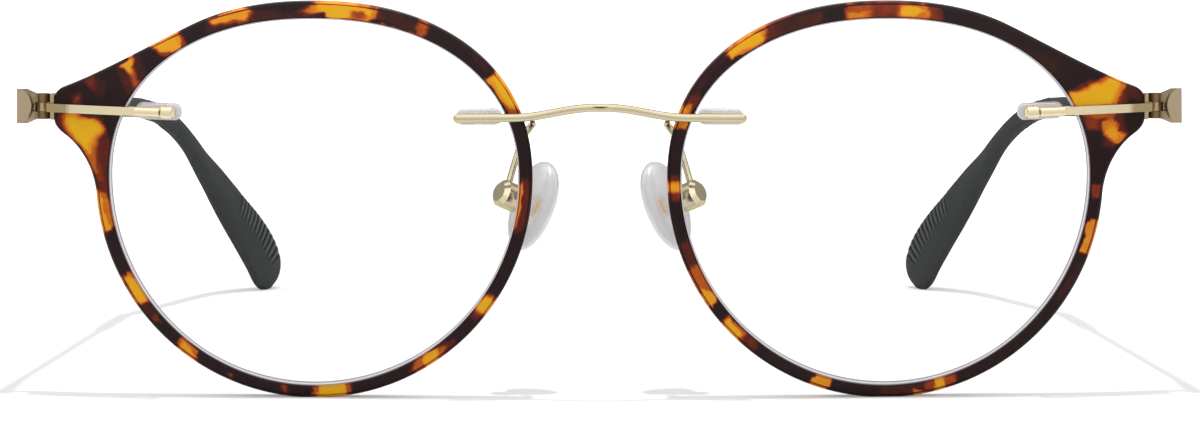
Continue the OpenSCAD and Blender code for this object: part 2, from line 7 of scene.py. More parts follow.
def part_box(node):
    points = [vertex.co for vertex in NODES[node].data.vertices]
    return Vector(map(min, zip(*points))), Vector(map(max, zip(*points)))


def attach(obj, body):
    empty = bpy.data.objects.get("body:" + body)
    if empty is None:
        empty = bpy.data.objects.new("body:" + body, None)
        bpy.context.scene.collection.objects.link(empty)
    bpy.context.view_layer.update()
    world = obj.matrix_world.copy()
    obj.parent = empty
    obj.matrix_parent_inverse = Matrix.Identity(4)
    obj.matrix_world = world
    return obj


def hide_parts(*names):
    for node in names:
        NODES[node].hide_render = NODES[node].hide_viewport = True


bl_info = {
    "name": "Round Tortoiseshell Glasses",
    "version": (1, 0, 0),
    "blender": (4, 5, 0),
    "location": "View3D > Sidebar > Glasses",
    "description": "Builds the looks of a pair of round tortoiseshell glasses on its packed frame",
    "category": "Object",
}

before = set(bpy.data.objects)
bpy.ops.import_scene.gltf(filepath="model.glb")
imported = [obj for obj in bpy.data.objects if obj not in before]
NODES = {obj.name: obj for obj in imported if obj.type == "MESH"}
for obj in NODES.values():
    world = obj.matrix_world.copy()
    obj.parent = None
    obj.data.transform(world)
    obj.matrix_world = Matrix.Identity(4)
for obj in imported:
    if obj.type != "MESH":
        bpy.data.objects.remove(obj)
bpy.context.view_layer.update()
SIDES = (("left", 1), ("right", -1))
MM = 0.001

# The front's measures in millimetres, as the part has them.
LENS_X, OPEN_A, OPEN_LOW, OPEN_UP, WIDE_Z = 33.85, 24.35, 24.65, 18.95, 26.1
LENS_R, REAR_R, LIP_R, BACK_R = 118.0, 116.2, 118.45, 115.45
BALL_X = LENS_X - LENS_R * math.sin(math.radians(4))
BALL_Z = 23.25
RIM_SIDE, RIM_TOP, RIM_BOTTOM, RIM_DEPTH = 1.55, 1.95, 1.45, 3.0
EAR_X, EAR_Z, EAR_H = 64.8, 34.05, 4.7
EAR_FROM, EAR_TO = -5, 60  # where the ear leaves the rim's edge, in degrees
DROP = 0.0558
FRONT_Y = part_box("lens_left")[0].y / MM
WIRE_R = 0.5
TEMPLE_LEN, TIP_LEN, TAB_FRONT = 145, 72, 2.2


class RimSettings(bpy.types.PropertyGroup):
    """Sizes and colours of the tortoiseshell rims"""

    edge: bpy.props.FloatProperty(
        name="Edge Bevel", description="Width of the rims' polished bevel",
        default=0.34 * MM, min=0.05 * MM, max=0.8 * MM, unit="LENGTH", precision=5)
    dark: bpy.props.FloatVectorProperty(
        name="Dark", description="Colour of the dark field", subtype="COLOR", size=4,
        default=(0.012, 0.004, 0.0045, 1))
    amber: bpy.props.FloatVectorProperty(
        name="Amber", description="Colour of the bright patches", subtype="COLOR", size=4,
        default=(0.80, 0.36, 0.015, 1))


class MetalSettings(bpy.types.PropertyGroup):
    """Colours of the gold parts"""

    gold: bpy.props.FloatVectorProperty(
        name="Gold", description="Colour of the polished gold", subtype="COLOR", size=4,
        default=(0.93, 0.80, 0.53, 1))
    wire: bpy.props.FloatVectorProperty(
        name="Wire Gold", description="Colour of the bridge, pad arms and boxes",
        subtype="COLOR", size=4, default=(0.68, 0.60, 0.40, 1))
    satin: bpy.props.FloatVectorProperty(
        name="Satin Gold", description="Colour of the satin gold", subtype="COLOR", size=4,
        default=(0.42, 0.325, 0.22, 1))
    edge: bpy.props.FloatProperty(
        name="Edge Softness", description="Width of the small bevels on the metal",
        default=0.08 * MM, min=0.01 * MM, max=0.2 * MM, unit="LENGTH", precision=5)


class PlasticSettings(bpy.types.PropertyGroup):
    """Colours of the tips, pads and clear parts"""

    tip: bpy.props.FloatVectorProperty(
        name="Tips", description="Colour of the temple tips", subtype="COLOR", size=4,
        default=(0.033, 0.036, 0.035, 1))
    pad: bpy.props.FloatVectorProperty(
        name="Pads", description="Colour of the nose pads", subtype="COLOR", size=4,
        default=(0.74, 0.725, 0.74, 1))
    brass: bpy.props.FloatVectorProperty(
        name="Pad Cores", description="Colour of the pad cores", subtype="COLOR", size=4,
        default=(0.90, 0.60, 0.18, 1))


class StageSettings(bpy.types.PropertyGroup):
    """Light of the studio"""

    lamp: bpy.props.FloatProperty(
        name="Overhead Lamp", description="Strength of the lamp above the glasses",
        default=1.7, min=0, max=10)
    sky: bpy.props.FloatProperty(
        name="Room Light", description="Strength of the even light of the room",
        default=1.0, min=0, max=2, subtype="FACTOR")


# ---------------------------------------------------------------- shape helpers


def spow(v, e):
    """A power that keeps the sign."""
    return -((-v) ** e) if v < 0 else v ** e


def outline(t, gs=0.0, gu=0.0, gl=0.0):
    """A point of the lens opening, grown by gs at the sides, gu above and gl below."""
    c, s = math.cos(math.radians(t)), math.sin(math.radians(t))
    up = s >= 0
    n = 2.2 if up else 2.0
    h = OPEN_UP + gu if up else OPEN_LOW + gl
    return Vector((LENS_X + (OPEN_A + gs) * spow(c, 2 / n), WIDE_Z + h * spow(s, 2 / n)))


def ball_y(x, z, r):
    """The depth of a sphere of radius r about the lens's centre of curvature."""
    return LENS_R - math.sqrt(r * r - (x - BALL_X) ** 2 - (z - BALL_Z) ** 2)


def mix(a, b, t):
    return a + (b - a) * t


def ease(t):
    """A smooth step from 0 to 1."""
    t = min(max(t, 0.0), 1.0)
    return t * t * (3 - 2 * t)


def bez3(a, b, c, d, t):
    """A Bezier curve of four points."""
    return a * (1 - t) ** 3 + b * 3 * t * (1 - t) ** 2 + c * 3 * t * t * (1 - t) + d * t ** 3


def bez2(a, b, c, t):
    """A Bezier curve of three points."""
    return a * (1 - t) ** 2 + b * 2 * t * (1 - t) + c * t * t


def cat(a, b, c, d, t):
    """A smooth curve from b to c."""
    return 0.5 * (2 * b + (c - a) * t + (2 * a - 5 * b + 4 * c - d) * t * t
                  + (3 * b - a - 3 * c + d) * t ** 3)


def distances(points):
    """How far each point is along the line through them."""
    far = [0.0]
    for p, q in zip(points, points[1:]):
        far.append(far[-1] + (q - p).length)
    return far


def placed(p, side):
    """A drawn point in millimetres, set in the frame in metres."""
    return (side * p[0] * MM, (p[1] + FRONT_Y) * MM, (p[2] - DROP) * MM)


def add_object(name, data):
    obj = bpy.data.objects.new(name, data)
    bpy.context.scene.collection.objects.link(obj)
    return obj


def add_piece(name, verts, faces, side, material, sharp=40, values=None):
    """Makes a mesh object of drawn points. values holds named numbers for each point."""
    if side < 0:
        faces = [tuple(reversed(f)) for f in faces]
    mesh = bpy.data.meshes.new(name)
    mesh.from_pydata([placed(v, side) for v in verts], [], faces)
    for key, numbers in (values or {}).items():
        layer = mesh.attributes.new(key, "FLOAT", "POINT")
        layer.data.foreach_set("value", numbers)
    mesh.materials.append(material)
    mesh.shade_smooth()
    mesh.set_sharp_from_angle(angle=math.radians(sharp))
    mesh.validate()
    return add_object(name, mesh)


def ring_faces(rings, count, close_path=False):
    """Quads between rings of count points each, with a cap at each end of an open path."""
    faces = []
    last = rings if close_path else rings - 1
    for i in range(last):
        k = (i + 1) % rings
        for j in range(count):
            l = (j + 1) % count
            faces.append((i * count + j, i * count + l, k * count + l, k * count + j))
    if not close_path:
        faces.append(tuple(reversed(range(count))))
        faces.append(tuple((rings - 1) * count + j for j in range(count)))
    return faces


def sweep(points, halves, sides, turns, count, power=0.8, bumps=None):
    """Rings of a wire or blade along points. bumps moves a ring's point in or out."""
    verts = []
    for i, p in enumerate(points):
        a, b = points[max(i - 1, 0)], points[min(i + 1, len(points) - 1)]
        t = (b - a).normalized()
        s0 = (sides[i] - t * sides[i].dot(t)).normalized()
        w0 = s0.cross(t)
        turn = math.radians(turns[i])
        s = s0 * math.cos(turn) - w0 * math.sin(turn)
        w = w0 * math.cos(turn) + s0 * math.sin(turn)
        for j in range(count):
            g = 2 * math.pi * j / count
            ds, dw = spow(math.cos(g), power), spow(math.sin(g), power)
            q = p + s * halves[i][1] * ds + w * halves[i][0] * dw
            if bumps:
                q -= s * bumps(i, ds, dw)
            verts.append(q)
    return verts


def finish_piece(obj, nodes, body="front"):
    """Says what carries a piece and which CAD nodes it stands for, and hides those."""
    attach(obj, body)
    if nodes:
        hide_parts(*nodes)


# ---------------------------------------------------------------- material helpers


def node_group(name, inputs, outputs):
    """A node group with named sockets, and its nodes for what enters and leaves."""
    group = bpy.data.node_groups.new(name, "ShaderNodeTree")
    for label, kind, default in inputs:
        socket = group.interface.new_socket(
            name=label, in_out="INPUT", socket_type="NodeSocket" + kind)
        socket.default_value = default
    for label, kind in outputs:
        group.interface.new_socket(name=label, in_out="OUTPUT", socket_type="NodeSocket" + kind)
    return group, group.nodes.new("NodeGroupInput"), group.nodes.new("NodeGroupOutput")


def feed(tree, socket, value):
    """Links another node's output to the socket, or sets the socket to a plain value."""
    if isinstance(value, bpy.types.NodeSocket):
        tree.links.new(value, socket)
    else:
        socket.default_value = value


def coords(tree, kind="Object"):
    return tree.nodes.new("ShaderNodeTexCoord").outputs[kind]


def split(tree, vector):
    """The X, Y and Z of a vector."""
    node = tree.nodes.new("ShaderNodeSeparateXYZ")
    tree.links.new(vector, node.inputs[0])
    return node.outputs


def vector_node(tree, how, *vectors):
    node = tree.nodes.new("ShaderNodeVectorMath")
    node.operation = how
    for socket, vector in zip(node.inputs, vectors):
        tree.links.new(vector, socket)
    return node.outputs


def point_value(tree, name):
    """A number that the mesh holds for each point."""
    node = tree.nodes.new("ShaderNodeAttribute")
    node.attribute_name = name
    return node.outputs["Fac"]


def math_node(tree, how, *values, clamp=False):
    node = tree.nodes.new("ShaderNodeMath")
    node.operation = how
    node.use_clamp = clamp
    for socket, value in zip(node.inputs, values):
        feed(tree, socket, value)
    return node.outputs[0]


def mix_node(tree, factor, first, second, blend="MIX"):
    """A colour between two others."""
    node = tree.nodes.new("ShaderNodeMix")
    node.data_type = "RGBA"
    node.blend_type = blend
    feed(tree, node.inputs["Factor"], factor)
    feed(tree, node.inputs[6], first)
    feed(tree, node.inputs[7], second)
    return node.outputs[2]


def noise_node(tree, vector, scale, detail, roughness=0.5, distortion=0.0):
    node = tree.nodes.new("ShaderNodeTexNoise")
    for key, value in (("Vector", vector), ("Scale", scale), ("Detail", detail),
                       ("Roughness", roughness), ("Distortion", distortion)):
        feed(tree, node.inputs[key], value)
    return node.outputs["Fac"]


def ramp_node(tree, fac, stops):
    """Colours along a value. A stop's colour may be one number, for a grey."""
    node = tree.nodes.new("ShaderNodeValToRGB")
    elements = node.color_ramp.elements
    while len(elements) < len(stops):
        elements.new(0.5)
    for element, (at, colour) in zip(elements, stops):
        element.position = at
        element.color = colour if isinstance(colour, tuple) else (colour, colour, colour, 1)
    tree.links.new(fac, node.inputs["Fac"])
    return node.outputs["Color"]


def band(tree, value, middle, reach, soft):
    """1 round the middle, falling over the width soft to 0 at the distance reach."""
    off = math_node(tree, "ABSOLUTE", math_node(tree, "SUBTRACT", value, middle))
    return math_node(tree, "MULTIPLY_ADD", off, -1 / soft, reach / soft, clamp=True)


def scaled(colour, by):
    return tuple(c * by for c in colour[:3]) + (1,)


def new_material(name, **values):
    """A material, its tree and its shader, whose sockets are set by name."""
    material = bpy.data.materials.new(name)
    material.use_nodes = True
    shader = material.node_tree.nodes["Principled BSDF"]
    for key, value in values.items():
        shader.inputs[key.replace("_", " ")].default_value = value
    return material, material.node_tree, shader


def fine_wear_group():
    """Fine rubbed marks: a roughness that varies and a height for the bump."""
    group = bpy.data.node_groups.get("Fine Wear")
    if group:
        return group
    group, enter, leave = node_group(
        "Fine Wear",
        [("Scale", "Float", 900.0), ("Roughness", "Float", 0.25), ("Spread", "Float", 0.1),
         ("Stretch", "Vector", (1, 1, 1))],
        [("Roughness", "Float"), ("Height", "Float")])
    given = enter.outputs
    where = coords(group)
    stretched = vector_node(group, "MULTIPLY", where, given["Stretch"])[0]
    fine = noise_node(group, stretched, given["Scale"], 3, 0.6)
    slow = noise_node(group, where, 240, 2)
    swing = math_node(group, "SUBTRACT", math_node(group, "ADD", fine, slow), 1.0)
    rough = math_node(group, "MULTIPLY_ADD", swing, given["Spread"], given["Roughness"])
    group.links.new(rough, leave.inputs["Roughness"])
    group.links.new(fine, leave.inputs["Height"])
    return group


def wear(tree, shader, scale, roughness, spread, bump, stretch=(1, 1, 1)):
    """Places the fine wear, with a bump of the given height in metres. Gives its height."""
    node = tree.nodes.new("ShaderNodeGroup")
    node.node_tree = fine_wear_group()
    for key, value in (("Scale", scale), ("Roughness", roughness), ("Spread", spread),
                       ("Stretch", stretch)):
        node.inputs[key].default_value = value
    tree.links.new(node.outputs["Roughness"], shader.inputs["Roughness"])
    if bump:
        raised = tree.nodes.new("ShaderNodeBump")
        raised.inputs["Strength"].default_value = 0.6
        raised.inputs["Distance"].default_value = bump
        tree.links.new(node.outputs["Height"], raised.inputs["Height"])
        tree.links.new(raised.outputs["Normal"], shader.inputs["Normal"])
    return node.outputs["Height"]


def tortoiseshell_group():
    """Cloudy tortoiseshell: a dark field, red-brown fringes and amber where Patch is high, darker
    as painted shade where Bevel is set.
    """
    group, enter, leave = node_group(
        "Tortoiseshell",
        [("Patch", "Float", 0.0), ("Bevel", "Float", 0.0), ("Dark", "Color", (0.02, 0.01, 0.01, 1)),
         ("Amber", "Color", (0.8, 0.35, 0.02, 1)), ("Cloud Scale", "Float", 160.0)],
        [("Color", "Color"), ("Height", "Float")])
    given = enter.outputs
    where = coords(group)
    clouds = noise_node(group, where, given["Cloud Scale"], 3, 0.5, 0.6)
    specks = noise_node(group, where, 620, 3, 0.6, 0.8)
    mask = math_node(group, "MULTIPLY_ADD", math_node(group, "SUBTRACT", clouds, 0.5), 0.24,
                     given["Patch"])
    mask = math_node(group, "MULTIPLY_ADD", math_node(group, "SUBTRACT", specks, 0.5), 0.16, mask)
    # Painted shade: the bevel line darkens the shell along the edges of the bevels.
    mask = math_node(group, "MULTIPLY_ADD", given["Bevel"], -0.5, mask, clamp=True)
    warm = ramp_node(group, mask, [
        (0.0, (0.011, 0.0035, 0.004, 1)), (0.12, (0.018, 0.005, 0.005, 1)),
        (0.22, (0.045, 0.008, 0.005, 1)), (0.33, (0.112, 0.012, 0.005, 1)),
        (0.46, (0.285, 0.038, 0.004, 1)), (0.60, (0.500, 0.105, 0.005, 1)),
        (0.72, (0.700, 0.240, 0.010, 1)), (0.88, (0.735, 0.345, 0.008, 1)),
        (1.0, (0.715, 0.410, 0.005, 1))])
    glow = ramp_node(group, mask, [(0.6, 0.0), (0.9, 0.12)])
    tint = mix_node(group, glow, warm, given["Amber"])
    lift = mix_node(group, 1.0, tint, given["Dark"], "LIGHTEN")
    group.links.new(lift, leave.inputs["Color"])
    group.links.new(specks, leave.inputs["Height"])
    return group


def turned_away(tree):
    """How far the surface turns from the glasses' front, 0 to 1, fixed to the piece itself."""
    front = math_node(tree, "ABSOLUTE", split(tree, coords(tree, "Normal"))["Y"])
    return math_node(tree, "SUBTRACT", 1.0, front, clamp=True)


# ---------------------------------------------------------------- materials


def tortoise_material(settings):
    """Polished tortoiseshell, amber where the rim's patch values are high, with painted shade along
    the bevel lines.
    """
    material, tree, shader = new_material(
        "tortoise_acetate", Roughness=0.17, Specular_IOR_Level=0.14)
    shell = tree.nodes.new("ShaderNodeGroup")
    shell.node_tree = tortoiseshell_group()
    for key, value in (("Patch", point_value(tree, "patch")), ("Bevel", point_value(tree, "bevel")),
                       ("Dark", settings.dark), ("Amber", settings.amber), ("Cloud Scale", 190)):
        feed(tree, shell.inputs[key], value)
    tree.links.new(shell.outputs["Color"], shader.inputs["Base Color"])
    wear(tree, shader, 700, 0.17, 0.10, 0.000002)
    return material


def gold_material(name, colour, roughness, spread, stretch=(1, 1, 1)):
    """Gold with fine wear. It is darker and duller round the hinge, from 62.7 to 67.5 mm out, as
    painted shade where the hinge lies in shadow.
    """
    material, tree, shader = new_material(
        name, Metallic=1.0, Roughness=roughness, Specular_Tint=(0.62, 0.56, 0.44, 1))
    worn = mix_node(tree, wear(tree, shader, 1500, roughness, spread, 0.000003, stretch),
                    colour, scaled(colour, 0.86))
    out = math_node(tree, "ABSOLUTE", split(tree, coords(tree))["X"])
    # Painted shade: a band round the hinge darkens the gold where the hinge is shaded.
    near = math_node(tree, "MULTIPLY", band(tree, out, 0.0651, 0.0024, 0.0007), 0.85)
    hinge_shaded = mix_node(tree, near, worn, (colour[0] * 0.42, colour[1] * 0.36, colour[2] * 0.26, 1))
    # Painted shade: the recess_shade values darken dimples and cuts toward near black.
    deep = mix_node(tree, point_value(tree, "recess_shade"), hinge_shaded, (0.07, 0.06, 0.03, 1))
    tree.links.new(deep, shader.inputs["Base Color"])
    return material


def clear_material(name, colour, roughness, ior, gloss, edge=None, through=1.0):
    """A clear plastic with painted shade, darker where it turns aside, if edge is set. Its shadow
    is let through.
    """
    tint = min(1.0, gloss * 2)
    material, tree, shader = new_material(
        name, Base_Color=colour, Roughness=roughness, Transmission_Weight=through, IOR=ior,
        Specular_IOR_Level=gloss, Specular_Tint=(tint, tint, tint, 1))
    wear(tree, shader, 600, roughness, 0.03 if edge else 0.0, 0)
    # Painted shade: the edge colour darkens the plastic where its surface turns from the front.
    if edge:
        tree.links.new(mix_node(tree, turned_away(tree), colour, edge),
                       shader.inputs["Base Color"])
    path = tree.nodes.new("ShaderNodeLightPath")
    clear = tree.nodes.new("ShaderNodeBsdfTransparent")
    clear.inputs["Color"].default_value = (0.93, 0.93, 0.93, 1)
    join = tree.nodes.new("ShaderNodeMixShader")
    for socket, value in zip(join.inputs, (path.outputs["Is Shadow Ray"], shader.outputs[0],
                                           clear.outputs[0])):
        tree.links.new(value, socket)
    tree.links.new(join.outputs[0], tree.nodes["Material Output"].inputs["Surface"])
    return material


def tip_material(colour):
    """Dark satin plastic, a little paler on the ridges as painted highlight and darker in the grip
    grooves as painted shade.
    """
    material, tree, shader = new_material(
        "dark_tip", Base_Color=colour, Roughness=0.5, Specular_IOR_Level=0.012)
    tone = mix_node(tree, wear(tree, shader, 1300, 0.5, 0.12, 0.000006),
                    colour, scaled(colour, 1.3))
    # The groove values give a painted highlight on the ridges and painted shade in the grooves.
    depth = ramp_node(tree, point_value(tree, "groove"), [
        (0.0, 2.7), (0.4, 1.0), (0.6, 1.0), (1.0, 0.12)])
    tree.links.new(mix_node(tree, 1.0, tone, depth, "MULTIPLY"), shader.inputs["Base Color"])
    return material


def pad_material(colour):
    """Milky clear silicone that glows a little as painted light, greyer at its edges as painted
    shade, with the core's brass clip showing through.
    """
    # Emission makes the pad glow a little: painted light in place of light scattered in the
    # silicone.
    material, tree, shader = new_material(
        "pad_silicone", Base_Color=colour, Roughness=0.32, Specular_IOR_Level=0.3,
        Transmission_Weight=0.25, IOR=1.41, Emission_Strength=0.46)
    wear(tree, shader, 420, 0.32, 0.08, 0)
    where = coords(tree)
    # Painted shade: the pad is greyer where its surface turns aside, with random tone from the
    # noise.
    steep = math_node(tree, "POWER", turned_away(tree), 2.0)
    shade = math_node(tree, "MULTIPLY_ADD", noise_node(tree, where, 520, 2), 0.3, steep,
                      clamp=True)
    body = mix_node(tree, shade, colour, scaled(colour, 0.6))
    place, clip_z = split(tree, where), 0.0224
    side = math_node(tree, "ABSOLUTE", place["X"])
    slant = math_node(tree, "MULTIPLY_ADD", math_node(tree, "SUBTRACT", place["Z"], clip_z),
                      0.45, side)
    clip = math_node(tree, "MULTIPLY", band(tree, slant, 0.0074, 0.00028, 0.0002),
                     band(tree, place["Z"], clip_z, 0.0011, 0.0005))
    tone = mix_node(tree, math_node(tree, "MULTIPLY", clip, 0.8), body, (0.78, 0.46, 0.10, 1))
    # The pad's glow takes the painted shade's colours; its base colour is 0.4 of them.
    tree.links.new(tone, shader.inputs["Emission Color"])
    tree.links.new(mix_node(tree, 0.6, tone, (0.0, 0.0, 0.0, 1)), shader.inputs["Base Color"])
    return material


def brass_material(colour):
    """The pad's core: amber metal near the middle of its plate, clear plastic elsewhere."""
    material, tree, shader = new_material("brass_core", Roughness=0.35)
    tone = mix_node(tree, wear(tree, shader, 800, 0.35, 0.1, 0.000004),
                    colour, scaled(colour, 0.8))
    metal = band(tree, split(tree, coords(tree))["Z"], 0.0226, 0.0013, 0.0005)
    tree.links.new(mix_node(tree, metal, (0.86, 0.85, 0.84, 1), tone),
                   shader.inputs["Base Color"])
    tree.links.new(math_node(tree, "MULTIPLY", metal, 0.5), shader.inputs["Metallic"])
    return material


def edge_material():
    """The bevel round a lens as painted highlight and shade: a thin dark line, a bright band and a
    lilac-grey line.
    """
    material, tree, shader = new_material("lens_edge", Roughness=0.3)
    bands = ramp_node(tree, point_value(tree, "across"), [
        (0.0, (0.10, 0.075, 0.09, 1)), (0.22, (0.42, 0.38, 0.42, 1)),
        (0.38, (0.86, 0.84, 0.86, 1)), (0.62, (0.80, 0.77, 0.79, 1)),
        (0.82, (0.24, 0.19, 0.21, 1)), (1.0, (0.55, 0.50, 0.53, 1))])
    tree.links.new(bands, shader.inputs["Base Color"])
    wear(tree, shader, 700, 0.3, 0.1, 0)
    return material


def get_material(name):
    """The material of that slot, made when it is first asked for."""
    made = bpy.data.materials.get("fin_" + name)
    if made:
        return made
    scene = bpy.context.scene
    metal, plastic = scene.glasses_metal, scene.glasses_plastic
    makers = {
        "tortoise_acetate": lambda: tortoise_material(scene.glasses_rim),
        "gold_metal": lambda: gold_material(name, tuple(metal.gold), 0.2, 0.06),
        "wire_gold": lambda: gold_material(name, tuple(metal.wire), 0.2, 0.06),
        "satin_gold_metal": lambda: gold_material(name, tuple(metal.satin), 0.36, 0.1, (1, 0.1, 1)),
        "lens_plastic": lambda: clear_material(name, (0.985, 0.99, 0.988, 1), 0.0, 1.5, 0.06),
        "clear_plastic": lambda: clear_material(
            name, (0.86, 0.83, 0.84, 1), 0.12, 1.45, 0.5, (0.14, 0.11, 0.12, 1), 0.65),
        "dark_tip": lambda: tip_material(tuple(plastic.tip)),
        "pad_silicone": lambda: pad_material(tuple(plastic.pad)),
        "brass_core": lambda: brass_material(tuple(plastic.brass)),
        "lens_edge": edge_material,
    }
    made = makers[name]()
    made.name = "fin_" + name
    return made


def dress_node(node, finish, bevel=0.0, rounds=2):
    """Gives a CAD node its finish, and soft edges where bevel is set."""
    obj = NODES[node]
    obj.data.materials.clear()
    obj.data.materials.append(get_material(finish))
    if bevel:
        soft = obj.modifiers.new("Soft Edges", "BEVEL")
        soft.width = bevel
        soft.segments = rounds
        soft.limit_method = "ANGLE"
        soft.angle_limit = math.radians(50)
        soft.harden_normals = True


# ---------------------------------------------------------------- rims


def rim_edge(t):
    """A point of the rim's outer edge, away from the ear."""
    return outline(t, RIM_SIDE, RIM_TOP, RIM_BOTTOM)


def ear_path():
    """The rim's outer edge round the ear, from the side of the rim up to its top."""
    a, b = rim_edge(EAR_TO), rim_edge(EAR_FROM)
    ta = (rim_edge(EAR_TO - 2) - a).normalized()
    tb = (rim_edge(EAR_FROM + 2) - b).normalized()
    top = Vector((EAR_X - 1, EAR_Z + EAR_H / 2 + 0.15))
    bot = Vector((EAR_X - 1.35, EAR_Z - EAR_H / 2 - 0.7))
    pts = [bez3(b, b + 3.2 * tb, bot - Vector((1.9, 1.3)), bot, i / 52) for i in range(52)]
    pts += [bez2(bot, Vector((EAR_X, bot.y + 0.9)), Vector((EAR_X, bot.y + 1.9)), i / 12)
            for i in range(12)]
    low, high = Vector((EAR_X, bot.y + 1.9)), Vector((EAR_X, top.y - 1.5))
    pts += [mix(low, high, i / 10) for i in range(10)]
    pts += [bez2(high, Vector((EAR_X, top.y - 0.45)), top, i / 12) for i in range(12)]
    pts += [bez3(top, top + Vector((-5, 1.9)), a + 4 * ta, a, i / 96) for i in range(97)]
    return pts


def rim_stations():
    """Pairs of inner and outer points round the rim."""
    pairs = []
    t = EAR_TO + 1.0
    while t < EAR_FROM + 359.9:
        pairs.append((outline(t), rim_edge(t)))
        t += 0.8
    path = ear_path()
    reach = distances(path)
    for p, s in zip(path, reach):
        pairs.append((outline(mix(EAR_FROM, EAR_TO, s / reach[-1])), p))
    for inner, outer in pairs:
        outer.y = max(outer.y, DROP)
    return pairs
